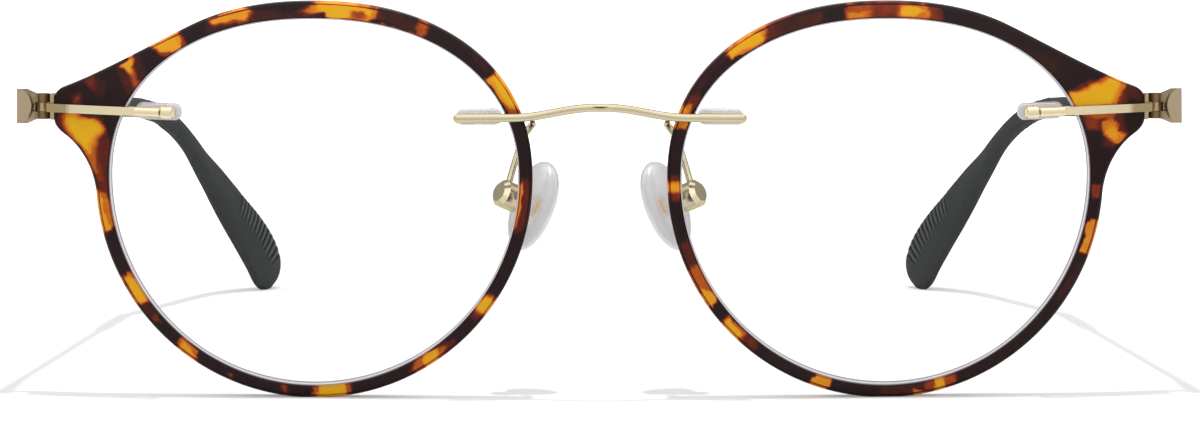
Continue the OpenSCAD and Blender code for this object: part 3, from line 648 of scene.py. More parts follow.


# The shell's patches, drawn over the photograph, each laid over those before it: how
# amber it is, how soft its edge is in millimetres, then its corners, across and up the front.
PATCHES = {
    "right": (
        (0.30, 0.5, -65, 33.8, -59, 33.9, -58.4, 31.9, -57.6, 29.3, -57.8, 23.4, -59.6, 23.3,
         -60.4, 27.5, -62.2, 30.2, -64.9, 31.5),
        (0.40, 0.8, -61.1, 30.4, -59.4, 29.5, -58.5, 24.6, -58, 22, -59.7, 23, -60.5, 27.5),
        (0.60, 0.5, -63.8, 33.9, -62.1, 33.7, -61.6, 33.2, -59.7, 33.2, -58.4, 31.7, -59.2, 30.6,
         -59.7, 29.3, -59.7, 26.7, -60.3, 26.4, -60.9, 28.5, -61.9, 29.9, -63, 30.9, -63.7, 32.1),
        (0.74, 0.4, -63.4, 33.9, -62.6, 33.7, -62.1, 33.1, -59.8, 33.1, -58.7, 31.7, -59.6, 30.8,
         -60.2, 29.5, -60.4, 28.8, -61.1, 29.7, -62.1, 30.6, -63.1, 31.6),
        (0.98, 0.35, -63, 33, -61.6, 32.7, -60.2, 32.9, -59.2, 31.8, -60.2, 30.9, -60.7, 29.5,
         -60.9, 29.5, -62, 30.6, -62.8, 31.7),
        (0.34, 0.6, -61.4, 37.9, -60.1, 38.4, -59.2, 36.6, -59.9, 36, -60.9, 36.9),
        (0.38, 0.7, -62.7, 35.5, -61.6, 36.1, -61.3, 34.6, -62.6, 34.5),
        (0.20, 0.8, -59.7, 38.2, -58.5, 37.3, -58.7, 35.4, -59.7, 35.6),
        (0.22, 0.6, -57.5, 39.2, -54.4, 40.7, -53.4, 37.6, -55.6, 35.7, -56.7, 37.6),
        (0.50, 0.4, -56, 38.8, -55.1, 39.3, -54.6, 37.7, -54, 37.4, -55, 36.2, -55.6, 37.6),
        (0.66, 0.35, -56.8, 39.2, -55.1, 40.6, -55.1, 39.7, -55.4, 39.1, -55.1, 38.1, -55.8, 38.3,
         -56.4, 38.8),
        (0.84, 0.3, -56.6, 39.4, -55.4, 40.3, -55.5, 39.3, -55.5, 38.5, -56, 38.7, -56.4, 39),
        (0.42, 0.4, -53.7, 41.4, -49.9, 43.6, -48.8, 41.9, -49.5, 41, -51.3, 40.3),
        (0.72, 0.3, -53.3, 41.6, -50.1, 43.6, -49.5, 41.9, -49.5, 41.2, -50.6, 40.7, -51.8, 41),
        (0.86, 0.3, -52.7, 41.5, -51.3, 42.4, -50.3, 42.7, -49.8, 41.8, -50.1, 41.2, -51, 41),
        (0.20, 0.6, -46.9, 44.3, -41.3, 46, -35.1, 45.8, -35.1, 44.7, -39.9, 44.5, -44.6, 43.4,
         -46.5, 43.2),
        (0.46, 0.35, -46.6, 44.5, -43, 46.2, -41.1, 46.3, -40.8, 45.6, -41.5, 44.9, -42.7, 44.3,
         -46, 44.1),
        (0.76, 0.25, -46.3, 44.8, -42.7, 46.2, -41.3, 46.1, -41.5, 45.5, -42.1, 44.8, -44.6, 44.5,
         -46, 44.3),
        (0.30, 0.4, -35.8, 45.8, -34, 47.2, -26.4, 46.8, -25.2, 46, -23.1, 45.6, -23.1, 44.6,
         -26.9, 44.9, -31.8, 44.8, -35.1, 45.1),
        (0.66, 0.3, -35.2, 45.7, -33.7, 47.1, -29.5, 47.2, -26.2, 46.4, -26.5, 45.1, -27.3, 44.5,
         -29.5, 44.9, -32.2, 44.8, -32.3, 45.8, -33.9, 45.5),
        (0.90, 0.3, -33.5, 46.9, -29.5, 46.8, -26.9, 46.1, -27.1, 45.2, -28, 45.9, -29.2, 45.8,
         -29.9, 45.1, -32.1, 44.8, -32.2, 45.9, -33.2, 45.9),
        (0.48, 0.4, -29.2, 45.8, -27.8, 46, -27.6, 45, -29.2, 45),
        (0.16, 0.3, -35, 45, -33.7, 45.5, -32.3, 45.8, -32.2, 44.8),
        (0.58, 0.2, -27.6, 44.7, -24.2, 44, -20.7, 43, -21.2, 42.5, -24.3, 43.6, -27.6, 44.3),
        (0.20, 0.5, -25.7, 45.8, -21.7, 44.8, -21.4, 43.2, -25.4, 44.6),
        (0.48, 0.25, -21.6, 44, -21.2, 45.1, -20, 44.5, -20.6, 42.7, -21.6, 43.2),
        (0.20, 0.7, -15.8, 41.6, -14.4, 41.1, -12.7, 39, -13.4, 38.5, -14.8, 39.9),
        (0.50, 0.3, -13.7, 37.8, -11.9, 39.4, -10.6, 38, -9.3, 35.9, -8.7, 33.5, -10.8, 33.5,
         -11.8, 35.2, -12.8, 36.6),
        (0.76, 0.3, -13.3, 38, -11.9, 39.2, -10.7, 37.8, -9.7, 35.9, -9.2, 34.2, -10.8, 34.3,
         -11.7, 35.4, -12.7, 36.9),
        (1.00, 0.35, -12.8, 38, -12.1, 38.5, -11.2, 37.2, -10.4, 35.7, -9.9, 34.7, -10.7, 34.7,
         -11.5, 35.9),
        (0.30, 0.5, -9.6, 26, -7.9, 26, -8.3, 20.7, -10.1, 19.2, -10.4, 20.7, -9.7, 23),
        (0.68, 0.2, -9.6, 25.3, -9, 25.5, -9.2, 22.9, -9.7, 20.3, -10.3, 20.1, -9.8, 22.7),
        (0.30, 0.5, -15.4, 10.8, -13.5, 10.1, -13.9, 8.7, -15.6, 9.6),
        (0.60, 0.3, -15.1, 11.1, -13.8, 12.7, -12, 12, -12.6, 10.3, -13.8, 9.5, -15.1, 10.7),
        (0.92, 0.3, -14.5, 11.4, -13.7, 12.1, -12.4, 11.6, -12.9, 10.7, -13.7, 10, -14.5, 10.7),
        (0.30, 0.4, -22.8, 2.9, -21.8, 5.1, -18.9, 6.5, -17.3, 7.2, -16.7, 6.3, -18.2, 4.8, -20.3,
         3.3, -22.2, 2.3),
        (0.56, 0.35, -22.2, 3.4, -21.4, 5.3, -19.4, 6.2, -18.1, 6.4, -18.6, 4.6, -20.3, 3.4, -21.8,
         2.8),
        (0.88, 0.35, -20.9, 5.3, -19.3, 6, -19.2, 4.1, -20.5, 3.4),
        (0.55, 0.35, -34, 2.4, -29.3, 2.7, -29.3, -0.2, -34.1, -0.3),
        (0.97, 0.3, -33.3, 2.4, -30.1, 2.6, -30, -0.2, -33.4, -0.3),
        (0.42, 0.5, -38, 1.6, -37.1, 1.8, -37, 0, -37.9, 0.2),
        (0.52, 0.35, -44.3, 2.8, -43.7, 3, -43.5, 1.6, -44.2, 1.7),
        (0.60, 0.3, -50.4, 6.1, -49.4, 7.4, -47.4, 5.6, -47.9, 4, -49.1, 4.6),
        (0.78, 0.3, -49.9, 5.9, -49.1, 6.6, -47.9, 5, -48.6, 4.5),
        (0.36, 0.4, -53.2, 9.7, -52.4, 10.2, -52, 8.9, -53.1, 8.9),
        (0.28, 0.4, -55.2, 11, -53.1, 11.5, -52.5, 10.1, -54.2, 9.6),
        (0.66, 0.3, -56.9, 14.3, -55.2, 15.3, -53.9, 13.4, -53.1, 11.4, -54.8, 10.8, -56.1, 12.6),
        (0.92, 0.35, -56.2, 13.9, -55, 14, -54, 13, -53.4, 11.5, -54.8, 11.1, -55.6, 12.7),
        (0.34, 0.4, -60.1, 25.7, -58, 25.8, -57.3, 20.8, -58.9, 19.4),
        (0.62, 0.35, -60.2, 24.8, -58.6, 24.1, -57.8, 22.4, -57.3, 20.5, -59, 19.1, -59.6, 21.9),
        (0.82, 0.25, -60, 24.5, -59.2, 24.3, -58.8, 22.2, -58.1, 20, -58.9, 19.5, -59.5, 21.9),
    ),
    "left": (
        (0.30, 0.6, 9.4, 34.2, 10.4, 36.4, 11.8, 37.1, 11.8, 35, 10.6, 33.5),
        (0.62, 0.3, 8.5, 34, 9.4, 35.1, 10.9, 34.7, 10.5, 32.6, 10.3, 31.9, 8, 31.9, 8.3, 32.8),
        (0.74, 0.3, 8.6, 34.2, 9.8, 34.7, 10.4, 34, 10.2, 32.8, 8.5, 32.6),
        (0.18, 0.7, 9.9, 35.9, 11.8, 38.7, 13.7, 41.1, 15.3, 41.5, 15.1, 40.1, 13.2, 38.7, 11.3,
         35.9),
        (0.42, 0.4, 14.6, 41.1, 17, 43.2, 22.4, 45.8, 23.6, 44.8, 21, 43.2, 19.3, 42.3, 15.6,
         40.1),
        (0.68, 0.3, 14.9, 41.1, 17, 43.2, 19.6, 44.4, 19.8, 43.2, 19.1, 42, 17.7, 41.3, 15.6,
         40.1),
        (0.93, 0.3, 15.2, 41.1, 17.1, 42.7, 19.1, 43.5, 19.3, 42.6, 17.9, 41.8, 16.5, 41.1, 15.7,
         40.4),
        (0.24, 0.6, 19.8, 43.7, 23.6, 45.8, 26.4, 45.8, 26.2, 44.1, 22.4, 43.2, 20.1, 42.3),
        (0.38, 0.3, 28.9, 46.8, 36, 47.1, 36, 44.6, 28.9, 44.6),
        (0.50, 0.3, 29, 46.7, 32.1, 46.8, 32.1, 44.8, 29, 44.7),
        (0.64, 0.25, 29.3, 45.5, 31.6, 45.8, 31.6, 44.8, 29.3, 44.7),
        (0.36, 0.5, 38.3, 46.7, 40.4, 46.2, 40.6, 44.1, 38.3, 44.3),
        (0.64, 0.35, 35.3, 46.9, 38.5, 46.7, 39.1, 45.5, 38.7, 44.3, 35.5, 44.6),
        (0.90, 0.3, 35.7, 46.4, 37.4, 46.4, 38.3, 45.7, 37.1, 45.3, 35.5, 45.4),
        (0.16, 0.8, 44.3, 43.6, 48.5, 42.1, 54.5, 39.7, 53.3, 37.1, 47.3, 41),
        (0.34, 0.45, 55.2, 36, 56.3, 36.7, 57.6, 37.3, 59.1, 37.6, 60.8, 38.5, 63.5, 37.4, 62.9,
         35.5, 62.5, 34.4, 55.9, 34.3),
        (0.66, 0.35, 55.5, 36, 57.9, 36.7, 59.1, 37.3, 60.8, 38.3, 62.7, 37.4, 62.3, 36.3, 61.6,
         35.3, 61.4, 34.4, 55.9, 34.4),
        (0.95, 0.35, 55.8, 35.9, 57.9, 36.3, 59.1, 36.9, 60.4, 37.6, 61.8, 37.4, 61.6, 36.4, 60.9,
         35.3, 60.5, 34.5, 56.2, 34.6),
        (0.26, 0.5, 62.5, 37, 64.5, 36.4, 64.6, 34.9, 62.3, 35),
        (0.30, 0.5, 56.2, 34, 62.2, 34.1, 62.7, 30.8, 60.8, 29.2, 58.4, 30.2, 57.4, 32.1),
        (0.40, 0.4, 57.4, 33.5, 59.2, 33, 59.1, 31.4, 58.1, 31.1, 57.5, 32.3),
        (0.56, 0.35, 56.7, 34, 61.5, 34.1, 60.9, 33, 58.8, 33, 57.3, 33.3),
        (0.66, 0.35, 59.6, 32.5, 60.8, 33.2, 61.8, 32.2, 61.6, 31.4, 62.6, 31, 61.6, 29.9, 60.8,
         29.9, 59.7, 30.9),
        (0.80, 0.35, 60.1, 31.5, 61.1, 32.1, 61.5, 31.3, 61.2, 30.4, 60.2, 30.6),
        (0.10, 0.4, 57.9, 31.4, 59.4, 31.6, 59.7, 30.2, 59.3, 29.2, 58.1, 29.2),
        (0.42, 0.5, 58.4, 25.2, 59.7, 25.2, 59.5, 23.5, 58.3, 23.5),
        (0.70, 0.3, 57.7, 20.7, 59.4, 21, 58.9, 18.5, 58.1, 16.3, 57, 17.4, 57.6, 19),
        (0.18, 0.8, 56.7, 15.9, 58, 15.9, 54.9, 10.7, 53.7, 11.5),
        (0.22, 0.6, 33.2, 2.4, 40.3, 2.8, 40.4, 0.1, 35.6, -0.3, 33.2, -0.3),
        (0.48, 0.4, 38.4, 1.6, 39.6, 2.8, 42, 3.2, 42.5, 1.8, 41.1, 0.3, 38.9, 0),
        (0.86, 0.25, 39.8, 2.8, 40.8, 2.9, 41, 0.3, 39.9, 0.2),
        (0.64, 0.25, 37, 1, 38.8, 1, 38.7, -0.4, 37, -0.3),
        (0.74, 0.2, 25.6, 3.3, 27.5, 2.5, 26.8, 0.6, 24.4, 1.4),
        (0.30, 0.4, 16.1, 7.2, 17.3, 8.2, 18.9, 6.5, 18.1, 5.4, 16.6, 6.2),
        (0.56, 0.3, 14.1, 9.1, 15.4, 10.2, 16.1, 8.9, 17.5, 7.9, 16.3, 6.5, 15.3, 7.3),
        (0.86, 0.25, 14.3, 9, 15.3, 9.7, 15.9, 8.5, 16.8, 7.7, 16.1, 7.1, 15.1, 7.9),
        (0.28, 0.4, 9, 18.4, 10.6, 19.1, 11.8, 16, 10.2, 15.3),
        (0.58, 0.3, 10, 15.4, 11.6, 16, 13.5, 13.2, 14.4, 12.1, 13.1, 10.7, 12.2, 11.5, 11, 13.5),
        (0.84, 0.3, 11.8, 12.9, 13, 12.9, 14.1, 11.9, 13.2, 11, 12.3, 11.6),
        (0.34, 0.4, 7.6, 26.4, 9.8, 26.7, 10.2, 23.5, 7.9, 23.5),
        (0.68, 0.25, 7.7, 25.7, 9.9, 25.9, 10, 24.3, 7.8, 24.3),
        (0.84, 0.3, 8, 25.5, 9.6, 25.5, 9.7, 24.7, 8, 24.7),
    ),
}


def inside_by(x, z, corners):
    """How far a place is inside a patch, in millimetres. It is negative outside."""
    near, within = 1e9, False
    for (ax, az), (bx, bz) in zip(corners, corners[1:] + corners[:1]):
        ex, ez, wx, wz = bx - ax, bz - az, x - ax, z - az
        t = min(max((wx * ex + wz * ez) / (ex * ex + ez * ez), 0.0), 1.0)
        near = min(near, (wx - ex * t) ** 2 + (wz - ez * t) ** 2)
        if (az > z) != (bz > z) and x < ax + ex * (z - az) / ez:
            within = not within
    return math.sqrt(near) if within else -math.sqrt(near)


def patch_boxes(side_name):
    """The patches of one side, each with the box outside which it can't reach."""
    boxes = []
    for level, soft, *numbers in PATCHES[side_name]:
        xs, zs = numbers[::2], numbers[1::2]
        boxes.append((level, soft, list(zip(xs, zs)), min(xs) - soft, max(xs) + soft,
                      min(zs) - soft, max(zs) + soft))
    return boxes


def patch_value(x, z, boxes):
    """How amber the shell is at a place on the front, from 0, dark, to 1, yellow."""
    sway = noise.noise_vector(Vector((x, 3.0, z)) * 0.8) * 0.3
    sway += noise.noise_vector(Vector((x, 9.0, z)) * 2.6) * 0.12
    x, z = x + sway.x, z + sway.z
    value = 0.07
    for level, soft, corners, x0, x1, z0, z1 in boxes:
        if x0 < x < x1 and z0 < z < z1:
            value = mix(value, level, ease(inside_by(x, z, corners) / soft + 0.5))
    return value


def rim_profile(width, edge):
    """Across, depth and bevel line of one ring of the rim, from its inner front edge round. The
    bevel line marks where painted shade darkens the edges of the bevels.
    """
    wide = min(edge, width * 0.28)
    deep = wide * 0.75
    inner, back = 0.13, 0.24
    pts = [(0.0, inner + 0.05, 0), (0.0, inner, 0), (inner * 0.5, inner * 0.45, 0.3),
           (inner, 0.0, 0.7), (inner + 0.05, 0.0, 0)]
    left, right = inner + 0.05, width - wide - 0.07
    pts += [(mix(left, right, k / 22), 0.0, 0) for k in range(1, 23)]
    pts += [(width - wide, 0.012, 1), (width - wide + 0.06, 0.03, 0.8),
            (width - wide * 0.45, deep * 0.42, 0), (width - 0.06, deep * 0.85, 0),
            (width, deep + 0.04, 0)]
    pts += [(width, mix(deep + 0.04, RIM_DEPTH - back, k / 4), 0) for k in range(1, 4)]
    pts += [(width, RIM_DEPTH - back, 0), (width - back * 0.35, RIM_DEPTH - back * 0.3, 0),
            (width - back, RIM_DEPTH, 0)]
    pts += [(mix(width - back, inner, k / 6), RIM_DEPTH, 0) for k in range(1, 6)]
    pts += [(inner, RIM_DEPTH, 0), (inner * 0.3, RIM_DEPTH - inner * 0.3, 0),
            (0.0, RIM_DEPTH - inner, 0)]
    pts += [(0.0, mix(RIM_DEPTH - inner, inner + 0.05, k / 5), 0) for k in range(1, 5)]
    return pts


class GLASSES_OT_rims(bpy.types.Operator):
    """Builds the two tortoiseshell rims with their ears"""

    bl_idname = "glasses.rims"
    bl_label = "Rims"

    def execute(self, context):
        noise.seed_set(1)  # without a seed the patches' sway differs at each run
        edge = context.scene.glasses_rim.edge / MM
        shell = get_material("tortoise_acetate")
        for side_name, side in SIDES:
            verts, amber, line = [], [], []
            pairs, boxes = rim_stations(), patch_boxes(side_name)
            for inner, outer in pairs:
                width = (outer - inner).length
                for u, v, bevel in rim_profile(width, edge):
                    p = mix(inner, outer, u / width)
                    y = mix(ball_y(p.x, p.y, LIP_R), ball_y(p.x, p.y, BACK_R), v / RIM_DEPTH)
                    verts.append(Vector((p.x, y, p.y)))
                    amber.append(patch_value(side * p.x, p.y, boxes))
                    line.append(bevel)
            count = len(verts) // len(pairs)
            faces = ring_faces(len(pairs), count, close_path=True)
            rim = add_piece("rim_shell_" + side_name, verts, faces, side, shell,
                            values={"patch": amber, "bevel": line})
            finish_piece(rim, ["rim_" + side_name])
        return {"FINISHED"}


# ---------------------------------------------------------------- lenses


# One ring of the lens's bevel: the share of its width inward, and how far it stands ahead.
BEVEL_RING = ((-0.05, 0.14), (0.22, 0.12), (0.4, 0.1), (0.6, 0.08), (0.82, 0.06), (1.0, 0.03),
              (1.0, 0.0), (-0.05, 0.0))


class GLASSES_OT_lenses(bpy.types.Operator):
    """Dresses the two lenses and adds the pale bevel round them, with its highlight and shade
    painted in bands
    """

    bl_idname = "glasses.lenses"
    bl_label = "Lenses"

    def execute(self, context):
        for side_name, side in SIDES:
            dress_node("lens_" + side_name, "lens_plastic")
            verts, across, turns = [], [], 240
            for i in range(turns):
                t = 360 * i / turns
                outward = max(0.0, math.cos(math.radians(t + 20)))
                down = max(0.0, -math.sin(math.radians(t)))
                wide = 0.17 + 0.33 * max(outward ** 1.5, down ** 2)
                for k, ahead in BEVEL_RING:
                    p = outline(t, -k * wide, -k * wide, -k * wide)
                    verts.append(Vector((p.x, ball_y(p.x, p.y, LENS_R + ahead + 0.03), p.y)))
                    across.append(max(k, 0.0))
            faces = ring_faces(turns, len(BEVEL_RING), close_path=True)
            bevel = add_piece("lens_bevel_" + side_name, verts, faces, side,
                              get_material("lens_edge"), values={"across": across})
            finish_piece(bevel, [])
        return {"FINISHED"}


# ---------------------------------------------------------------- bridge


def half_w(z):
    """Half the lens's width at that height above the widest place."""
    return (OPEN_A + 0.5) * (1 - ((z - WIDE_Z) / (OPEN_UP + 0.5)) ** 2.2) ** (1 / 2.2)


NASAL_Z = WIDE_Z + 7.25
NASAL_X1 = LENS_X - half_w(NASAL_Z) + 2.5
NASAL_X2 = NASAL_X1 + 3.0
BRIDGE_END = NASAL_X2 + 1.5


def bridge_seat(x):
    """The depth at which the wire lies on the rim."""
    return ball_y(x, NASAL_Z - WIRE_R, LIP_R) - 0.06 - WIRE_R


BRIDGE_Y = bridge_seat(NASAL_X2 + 1.4)


def bridge_pt(x):
    """The middle of the bridge's wire."""
    e = 1 - ease((abs(x) - 0.5) / (NASAL_X1 - 3.2))
    return Vector((x, mix(bridge_seat(abs(x)), BRIDGE_Y - 0.8, e), NASAL_Z + 1.3 * e))


class GLASSES_OT_bridge(bpy.types.Operator):
    """Builds the gold bridge with its pins and the small flat in its middle, painted dark as shade
    """

    bl_idname = "glasses.bridge"
    bl_label = "Bridge"

    def execute(self, context):
        gold = get_material("wire_gold")
        ends = [BRIDGE_END - WIRE_R * (1 - math.sin(math.radians(i * 9))) for i in range(11)]
        inside = [mix(-BRIDGE_END + WIRE_R, BRIDGE_END - WIRE_R, i / 120) for i in range(1, 120)]
        xs = [-x for x in reversed(ends)] + inside + ends
        halves = []
        for x in xs:
            q = max(0.0, (abs(x) - BRIDGE_END) / WIRE_R + 1)
            k = max(0.12, math.sqrt(max(0.0, 1 - q * q)))
            tall = WIRE_R + 0.05 * ease((abs(x) - NASAL_X1 + 1.6) / 0.8)
            halves.append((k * tall, k * WIRE_R))
        count = 48
        dimple_shade = []

        def dimple(i, ds, dw):
            """A small oval dimple in the middle of the bridge's front, painted dark as shade."""
            oval = math.sqrt((xs[i] / 0.85) ** 2 + ((dw * WIRE_R - 0.03) / 0.15) ** 2)
            mark = 1 - ease((oval - 0.7) / 0.45) if ds > 0.6 else 0.0
            dimple_shade.append(mark)
            return 0.08 * mark

        verts = sweep([bridge_pt(x) for x in xs], halves, [Vector((0, -1, 0))] * len(xs),
                      [0.0] * len(xs), count, 0.72, dimple)
        faces = ring_faces(len(xs), count)
        for x in (-NASAL_X2, -NASAL_X1, NASAL_X1, NASAL_X2):
            back = ball_y(abs(x), NASAL_Z, REAR_R - 0.8) + 0.3
            add_pin(verts, faces, x, NASAL_Z, bridge_pt(x).y, back, 0.35)
        dimple_shade += [0.0] * (len(verts) - len(dimple_shade))
        bridge = add_piece("bridge_wire", verts, faces, 1, gold, values={"recess_shade": dimple_shade})
        finish_piece(bridge, ["bridge"])
        return {"FINISHED"}


def add_pin(verts, faces, x, z, y0, y1, r):
    """A pin along the depth with a domed end."""
    start = len(verts)
    rings = ((y0, r), (y1 - 0.12, r), (y1 - 0.04, r * 0.85), (y1, r * 0.45))
    for y, k in rings:
        for j in range(20):
            g = 2 * math.pi * j / 20
            verts.append(Vector((x + k * math.cos(g), y, z + k * math.sin(g))))
    for f in ring_faces(len(rings), 20):
        faces.append(tuple(reversed([start + i for i in f])))


# ---------------------------------------------------------------- small fixed parts


class GLASSES_OT_mounts(bpy.types.Operator):
    """Dresses the clear spacers and bushings that hold the metal to the lenses"""

    bl_idname = "glasses.mounts"
    bl_label = "Clear Mounts"

    def execute(self, context):
        for side_name, side in SIDES:
            for node in ("spacer_nasal_", "spacer_side_", "bushing_nasal_", "bushing_side_"):
                dress_node(node + side_name, "clear_plastic", 0.22 * MM, 3)
        return {"FINISHED"}


BAR_R = math.sqrt(LIP_R ** 2 - (EAR_Z - BALL_Z - 1) ** 2) + 0.06


def bar_pt(x):
    """The middle of the endpiece's bar, a little forward."""
    y = LENS_R - math.sqrt((BAR_R + 0.63) ** 2 - (x - BALL_X) ** 2)
    return Vector((x, y, EAR_Z + 0.15 - (EAR_X - x) * math.tan(math.radians(1.4))))


# The sleeve on the bar runs in from SLEEVE_OUT to a rounded end, past a cut and a taller block.
SLEEVE_OUT, SLEEVE_IN, SLEEVE_END = 54.9, 50.75, 0.45
CUT_X, BLOCK_X = 51.9, 51.85


class GLASSES_OT_endpieces(bpy.types.Operator):
    """Dresses the gold endpieces and the hinge screws"""

    bl_idname = "glasses.endpieces"
    bl_label = "Endpieces"

    def execute(self, context):
        soft = context.scene.glasses_metal.edge
        gold = get_material("gold_metal")
        for side_name, side in SIDES:
            count = 48
            xs = [mix(SLEEVE_OUT, SLEEVE_IN, i / 60) for i in range(61)]
            xs += [SLEEVE_IN - SLEEVE_END * math.sin(math.radians(i * 9)) for i in range(1, 11)]
            halves, dark = [], []
            for x in xs:
                k = math.sqrt(max(0.1, 1 - max(0.0, (SLEEVE_IN - x) / SLEEVE_END) ** 2))
                step = 0.16 * ease((BLOCK_X - x) / 0.15)
                halves.append((k * (0.56 + step), k * 0.495))

            def slot(i, ds, dw):
                """A cut across the bar before its end cap, deepest in the middle, darkened as
                painted shade.
                """
                cut = 1 - ease((abs(xs[i] - CUT_X) - 0.05) / 0.08)
                deep = cut * (1 - ease((abs(dw) - 0.35) / 0.3)) if ds > 0 else 0.0
                # Painted shade in the cut, fullest in its middle.
                dark.append(max(deep, 0.35 * cut))
                return 0.03 * cut + 0.05 * deep

            verts = sweep([bar_pt(x) for x in xs], halves, [Vector((0, -1, 0))] * len(xs),
                          [0.0] * len(xs), count, 0.62, slot)
            faces = ring_faces(len(xs), count)
            sleeve = add_piece("bar_sleeve_" + side_name, verts, faces, side, gold,
                               values={"recess_shade": dark})
            finish_piece(sleeve, [])
            dress_node("endpiece_" + side_name, "gold_metal", soft)
            dress_node("hinge_screw_" + side_name, "satin_gold_metal", soft * 0.5)
        return {"FINISHED"}


class GLASSES_OT_temples(bpy.types.Operator):
    """Dresses the gold temples"""

    bl_idname = "glasses.temples"
    bl_label = "Temples"

    def execute(self, context):
        soft = context.scene.glasses_metal.edge
        for side_name, side in SIDES:
            dress_node("temple_" + side_name, "satin_gold_metal", soft)
        return {"FINISHED"}


# ---------------------------------------------------------------- temple tips


PIVOT_X = 66.27
PIVOT_Y = ball_y(EAR_X, EAR_Z, BACK_R) - 0.8
HINGE_Z = EAR_Z + 0.15
BLADE_X = PIVOT_X + 0.93 + 0.09 + 1.75 - 0.7
ROUTE = ((0, 0, 0), (3.8, 43, 0.0875), (7.6, 86, 0.175), (8.8, 91.5, 0.194), (10.3, 97, 0.225),
         (12, 103, 0.285), (13.6, 109, 0.365), (15.2, 115, 0.47), (16.8, 119.8, 0.56),
         (18.8, 123.6, 0.665), (20.9, 126.8, 0.78), (22.5, 129, 0.89), (23.2, 130.2, 1))
K_LEN = (TEMPLE_LEN - TAB_FRONT) / 142.6


def road(i):
    """One point of the temple's middle line."""
    p = ROUTE[i]
    return Vector((BLADE_X - p[0] * K_LEN, PIVOT_Y + p[1] * K_LEN,
                   HINGE_Z - (HINGE_Z - 0.2 - DROP) * p[2]))


def tip_road():
    """Points of the temple's middle line and their distance along it."""
    last = len(ROUTE) - 1
    pts = [road(0)]
    for k in range(2 * 16, last * 16 + 1):
        i = min(k // 16, last - 1)
        f = k / 16 - i
        d = 2 * road(last) - road(last - 1) if i + 2 > last else road(i + 2)
        pts.append(cat(road(max(i - 1, 0)), road(i), road(i + 1), d, f))
    return pts, distances(pts)


def along(pts, far, s):
    """The place at the distance s along the line."""
    s = min(s, far[-1])
    for i in range(len(far) - 1):
        if s <= far[i + 1]:
            return mix(pts[i], pts[i + 1], (s - far[i]) / (far[i + 1] - far[i]))
    return pts[-1]


class GLASSES_OT_tips(bpy.types.Operator):
    """Builds the dark temple tips with their grip grooves"""

    bl_idname = "glasses.tips"
    bl_label = "Temple Tips"

    def execute(self, context):
        pts, far = tip_road()
        total = far[-1]
        start = TEMPLE_LEN - TAB_FRONT - TIP_LEN
        ribs, pitch, rib_end, round_end = 13, 0.86, 3.0, 3.85
        zone = total - rib_end - ribs * pitch
        ss = [start + 0.02 + 0.3 * (1 - math.cos(math.radians(i * 18))) for i in range(6)]
        ss += [mix(start + 0.4, zone, i / 70) for i in range(1, 70)]
        ss += [zone + i * pitch / 8 for i in range(ribs * 8)]
        ss += [total - rib_end + rib_end * math.sin(math.radians(i * 4.5)) for i in range(21)]
        halves, turns, fuller, lower, groove_shade = [], [], [], [], []
        for s in ss:
            share = ease((s - total + TIP_LEN / 2) / (TIP_LEN * 0.42))
            q = (s - (total - round_end)) / round_end
            tip = 1 if q <= 0 else max(0.06, max(0.0, 1 - q ** 2.3) ** (1 / 2.3))
            head = 0.82 + 0.18 * math.sqrt(min(1, max(0.0, (s - start) / 0.6)))
            full = ease((s - total + 15) / 13)
            low = ease((s - total + 24) / 9)
            lower.append(low)
            fuller.append(full)
            halves.append((head * tip * (mix(2.6, 7.0, share) / 2 + 0.1 * full + 0.17 * low),
                           head * max(0.3, tip) * mix(2.1, 2.6, share) / 2))
            turns.append(-14 * share - 9 * full)

        def groove(i, ds, dw):
            """Grip grooves across the upper half of the inner face and over its edge."""
            # groove_shade holds 0.5 away from the grooves, less on the ridges and more in the
            # grooves, for the painted highlight and shade.
            q = (ss[i] - zone) / pitch
            reach = (1 - ease((dw + 0.1) / 0.3)) * ease((ds + 0.35) / 0.3)
            if q <= 0 or q >= ribs or reach <= 0:
                groove_shade.append(0.5)
                return 0.0
            cut = (0.5 - 0.5 * math.cos(q * 2 * math.pi)) ** 0.8
            groove_shade.append(0.5 + (cut - 0.5) * reach)
            return 0.20 * cut * reach * max(0.0, ds)

        tip = get_material("dark_tip")
        middle = [
            along(pts, far, s) + Vector((0.15 - 0.42 * f + 0.1 * d, -0.15, 0.1 * f - 0.1 * d))
            for s, f, d in zip(ss, fuller, lower)]
        verts = sweep(middle, halves, [Vector((-1, 0, 0))] * len(ss), turns, 40, 0.8, groove)
        faces = ring_faces(len(ss), 40)
        for side_name, side in SIDES:
            obj = add_piece("tip_sleeve_" + side_name, verts, faces, side, tip, 60,
                            values={"groove": groove_shade})
            finish_piece(obj, ["temple_tip_" + side_name],
                         f"temple_{side_name}_body")
        return {"FINISHED"}


# ---------------------------------------------------------------- nose pads


PAD_PIVOT = Vector((10.9, 6.6, WIDE_Z - 2.4))
PAD_SPLAY, PAD_LEAN = math.radians(34), math.radians(22)
PAD_NEAR, PAD_THICK, PAD_HALF_WIDE, PAD_HALF_HIGH = -1.1 - 1.6, 2.8, 3.7, 5.6
# Rings of the cushion from its back to its face: share of the size, share of the thickness.
PAD_STEPS = ((0.30, 0.0), (0.62, 0.0), (0.80, 0.02), (0.90, 0.08), (0.97, 0.2), (1.0, 0.36),
             (0.985, 0.5), (0.94, 0.63), (0.86, 0.75), (0.74, 0.85), (0.58, 0.92),
             (0.38, 0.97), (0.18, 0.995))


def pad_place(p):
    """A point of the pad's own frame, set in the drawing."""
    x, y, z = p
    x, z = (x * math.cos(PAD_LEAN) - z * math.sin(PAD_LEAN),
            x * math.sin(PAD_LEAN) + z * math.cos(PAD_LEAN))
    x, y = (x * math.cos(PAD_SPLAY) + y * math.sin(PAD_SPLAY),
            -x * math.sin(PAD_SPLAY) + y * math.cos(PAD_SPLAY))
    return PAD_PIVOT + Vector((x, y, z))


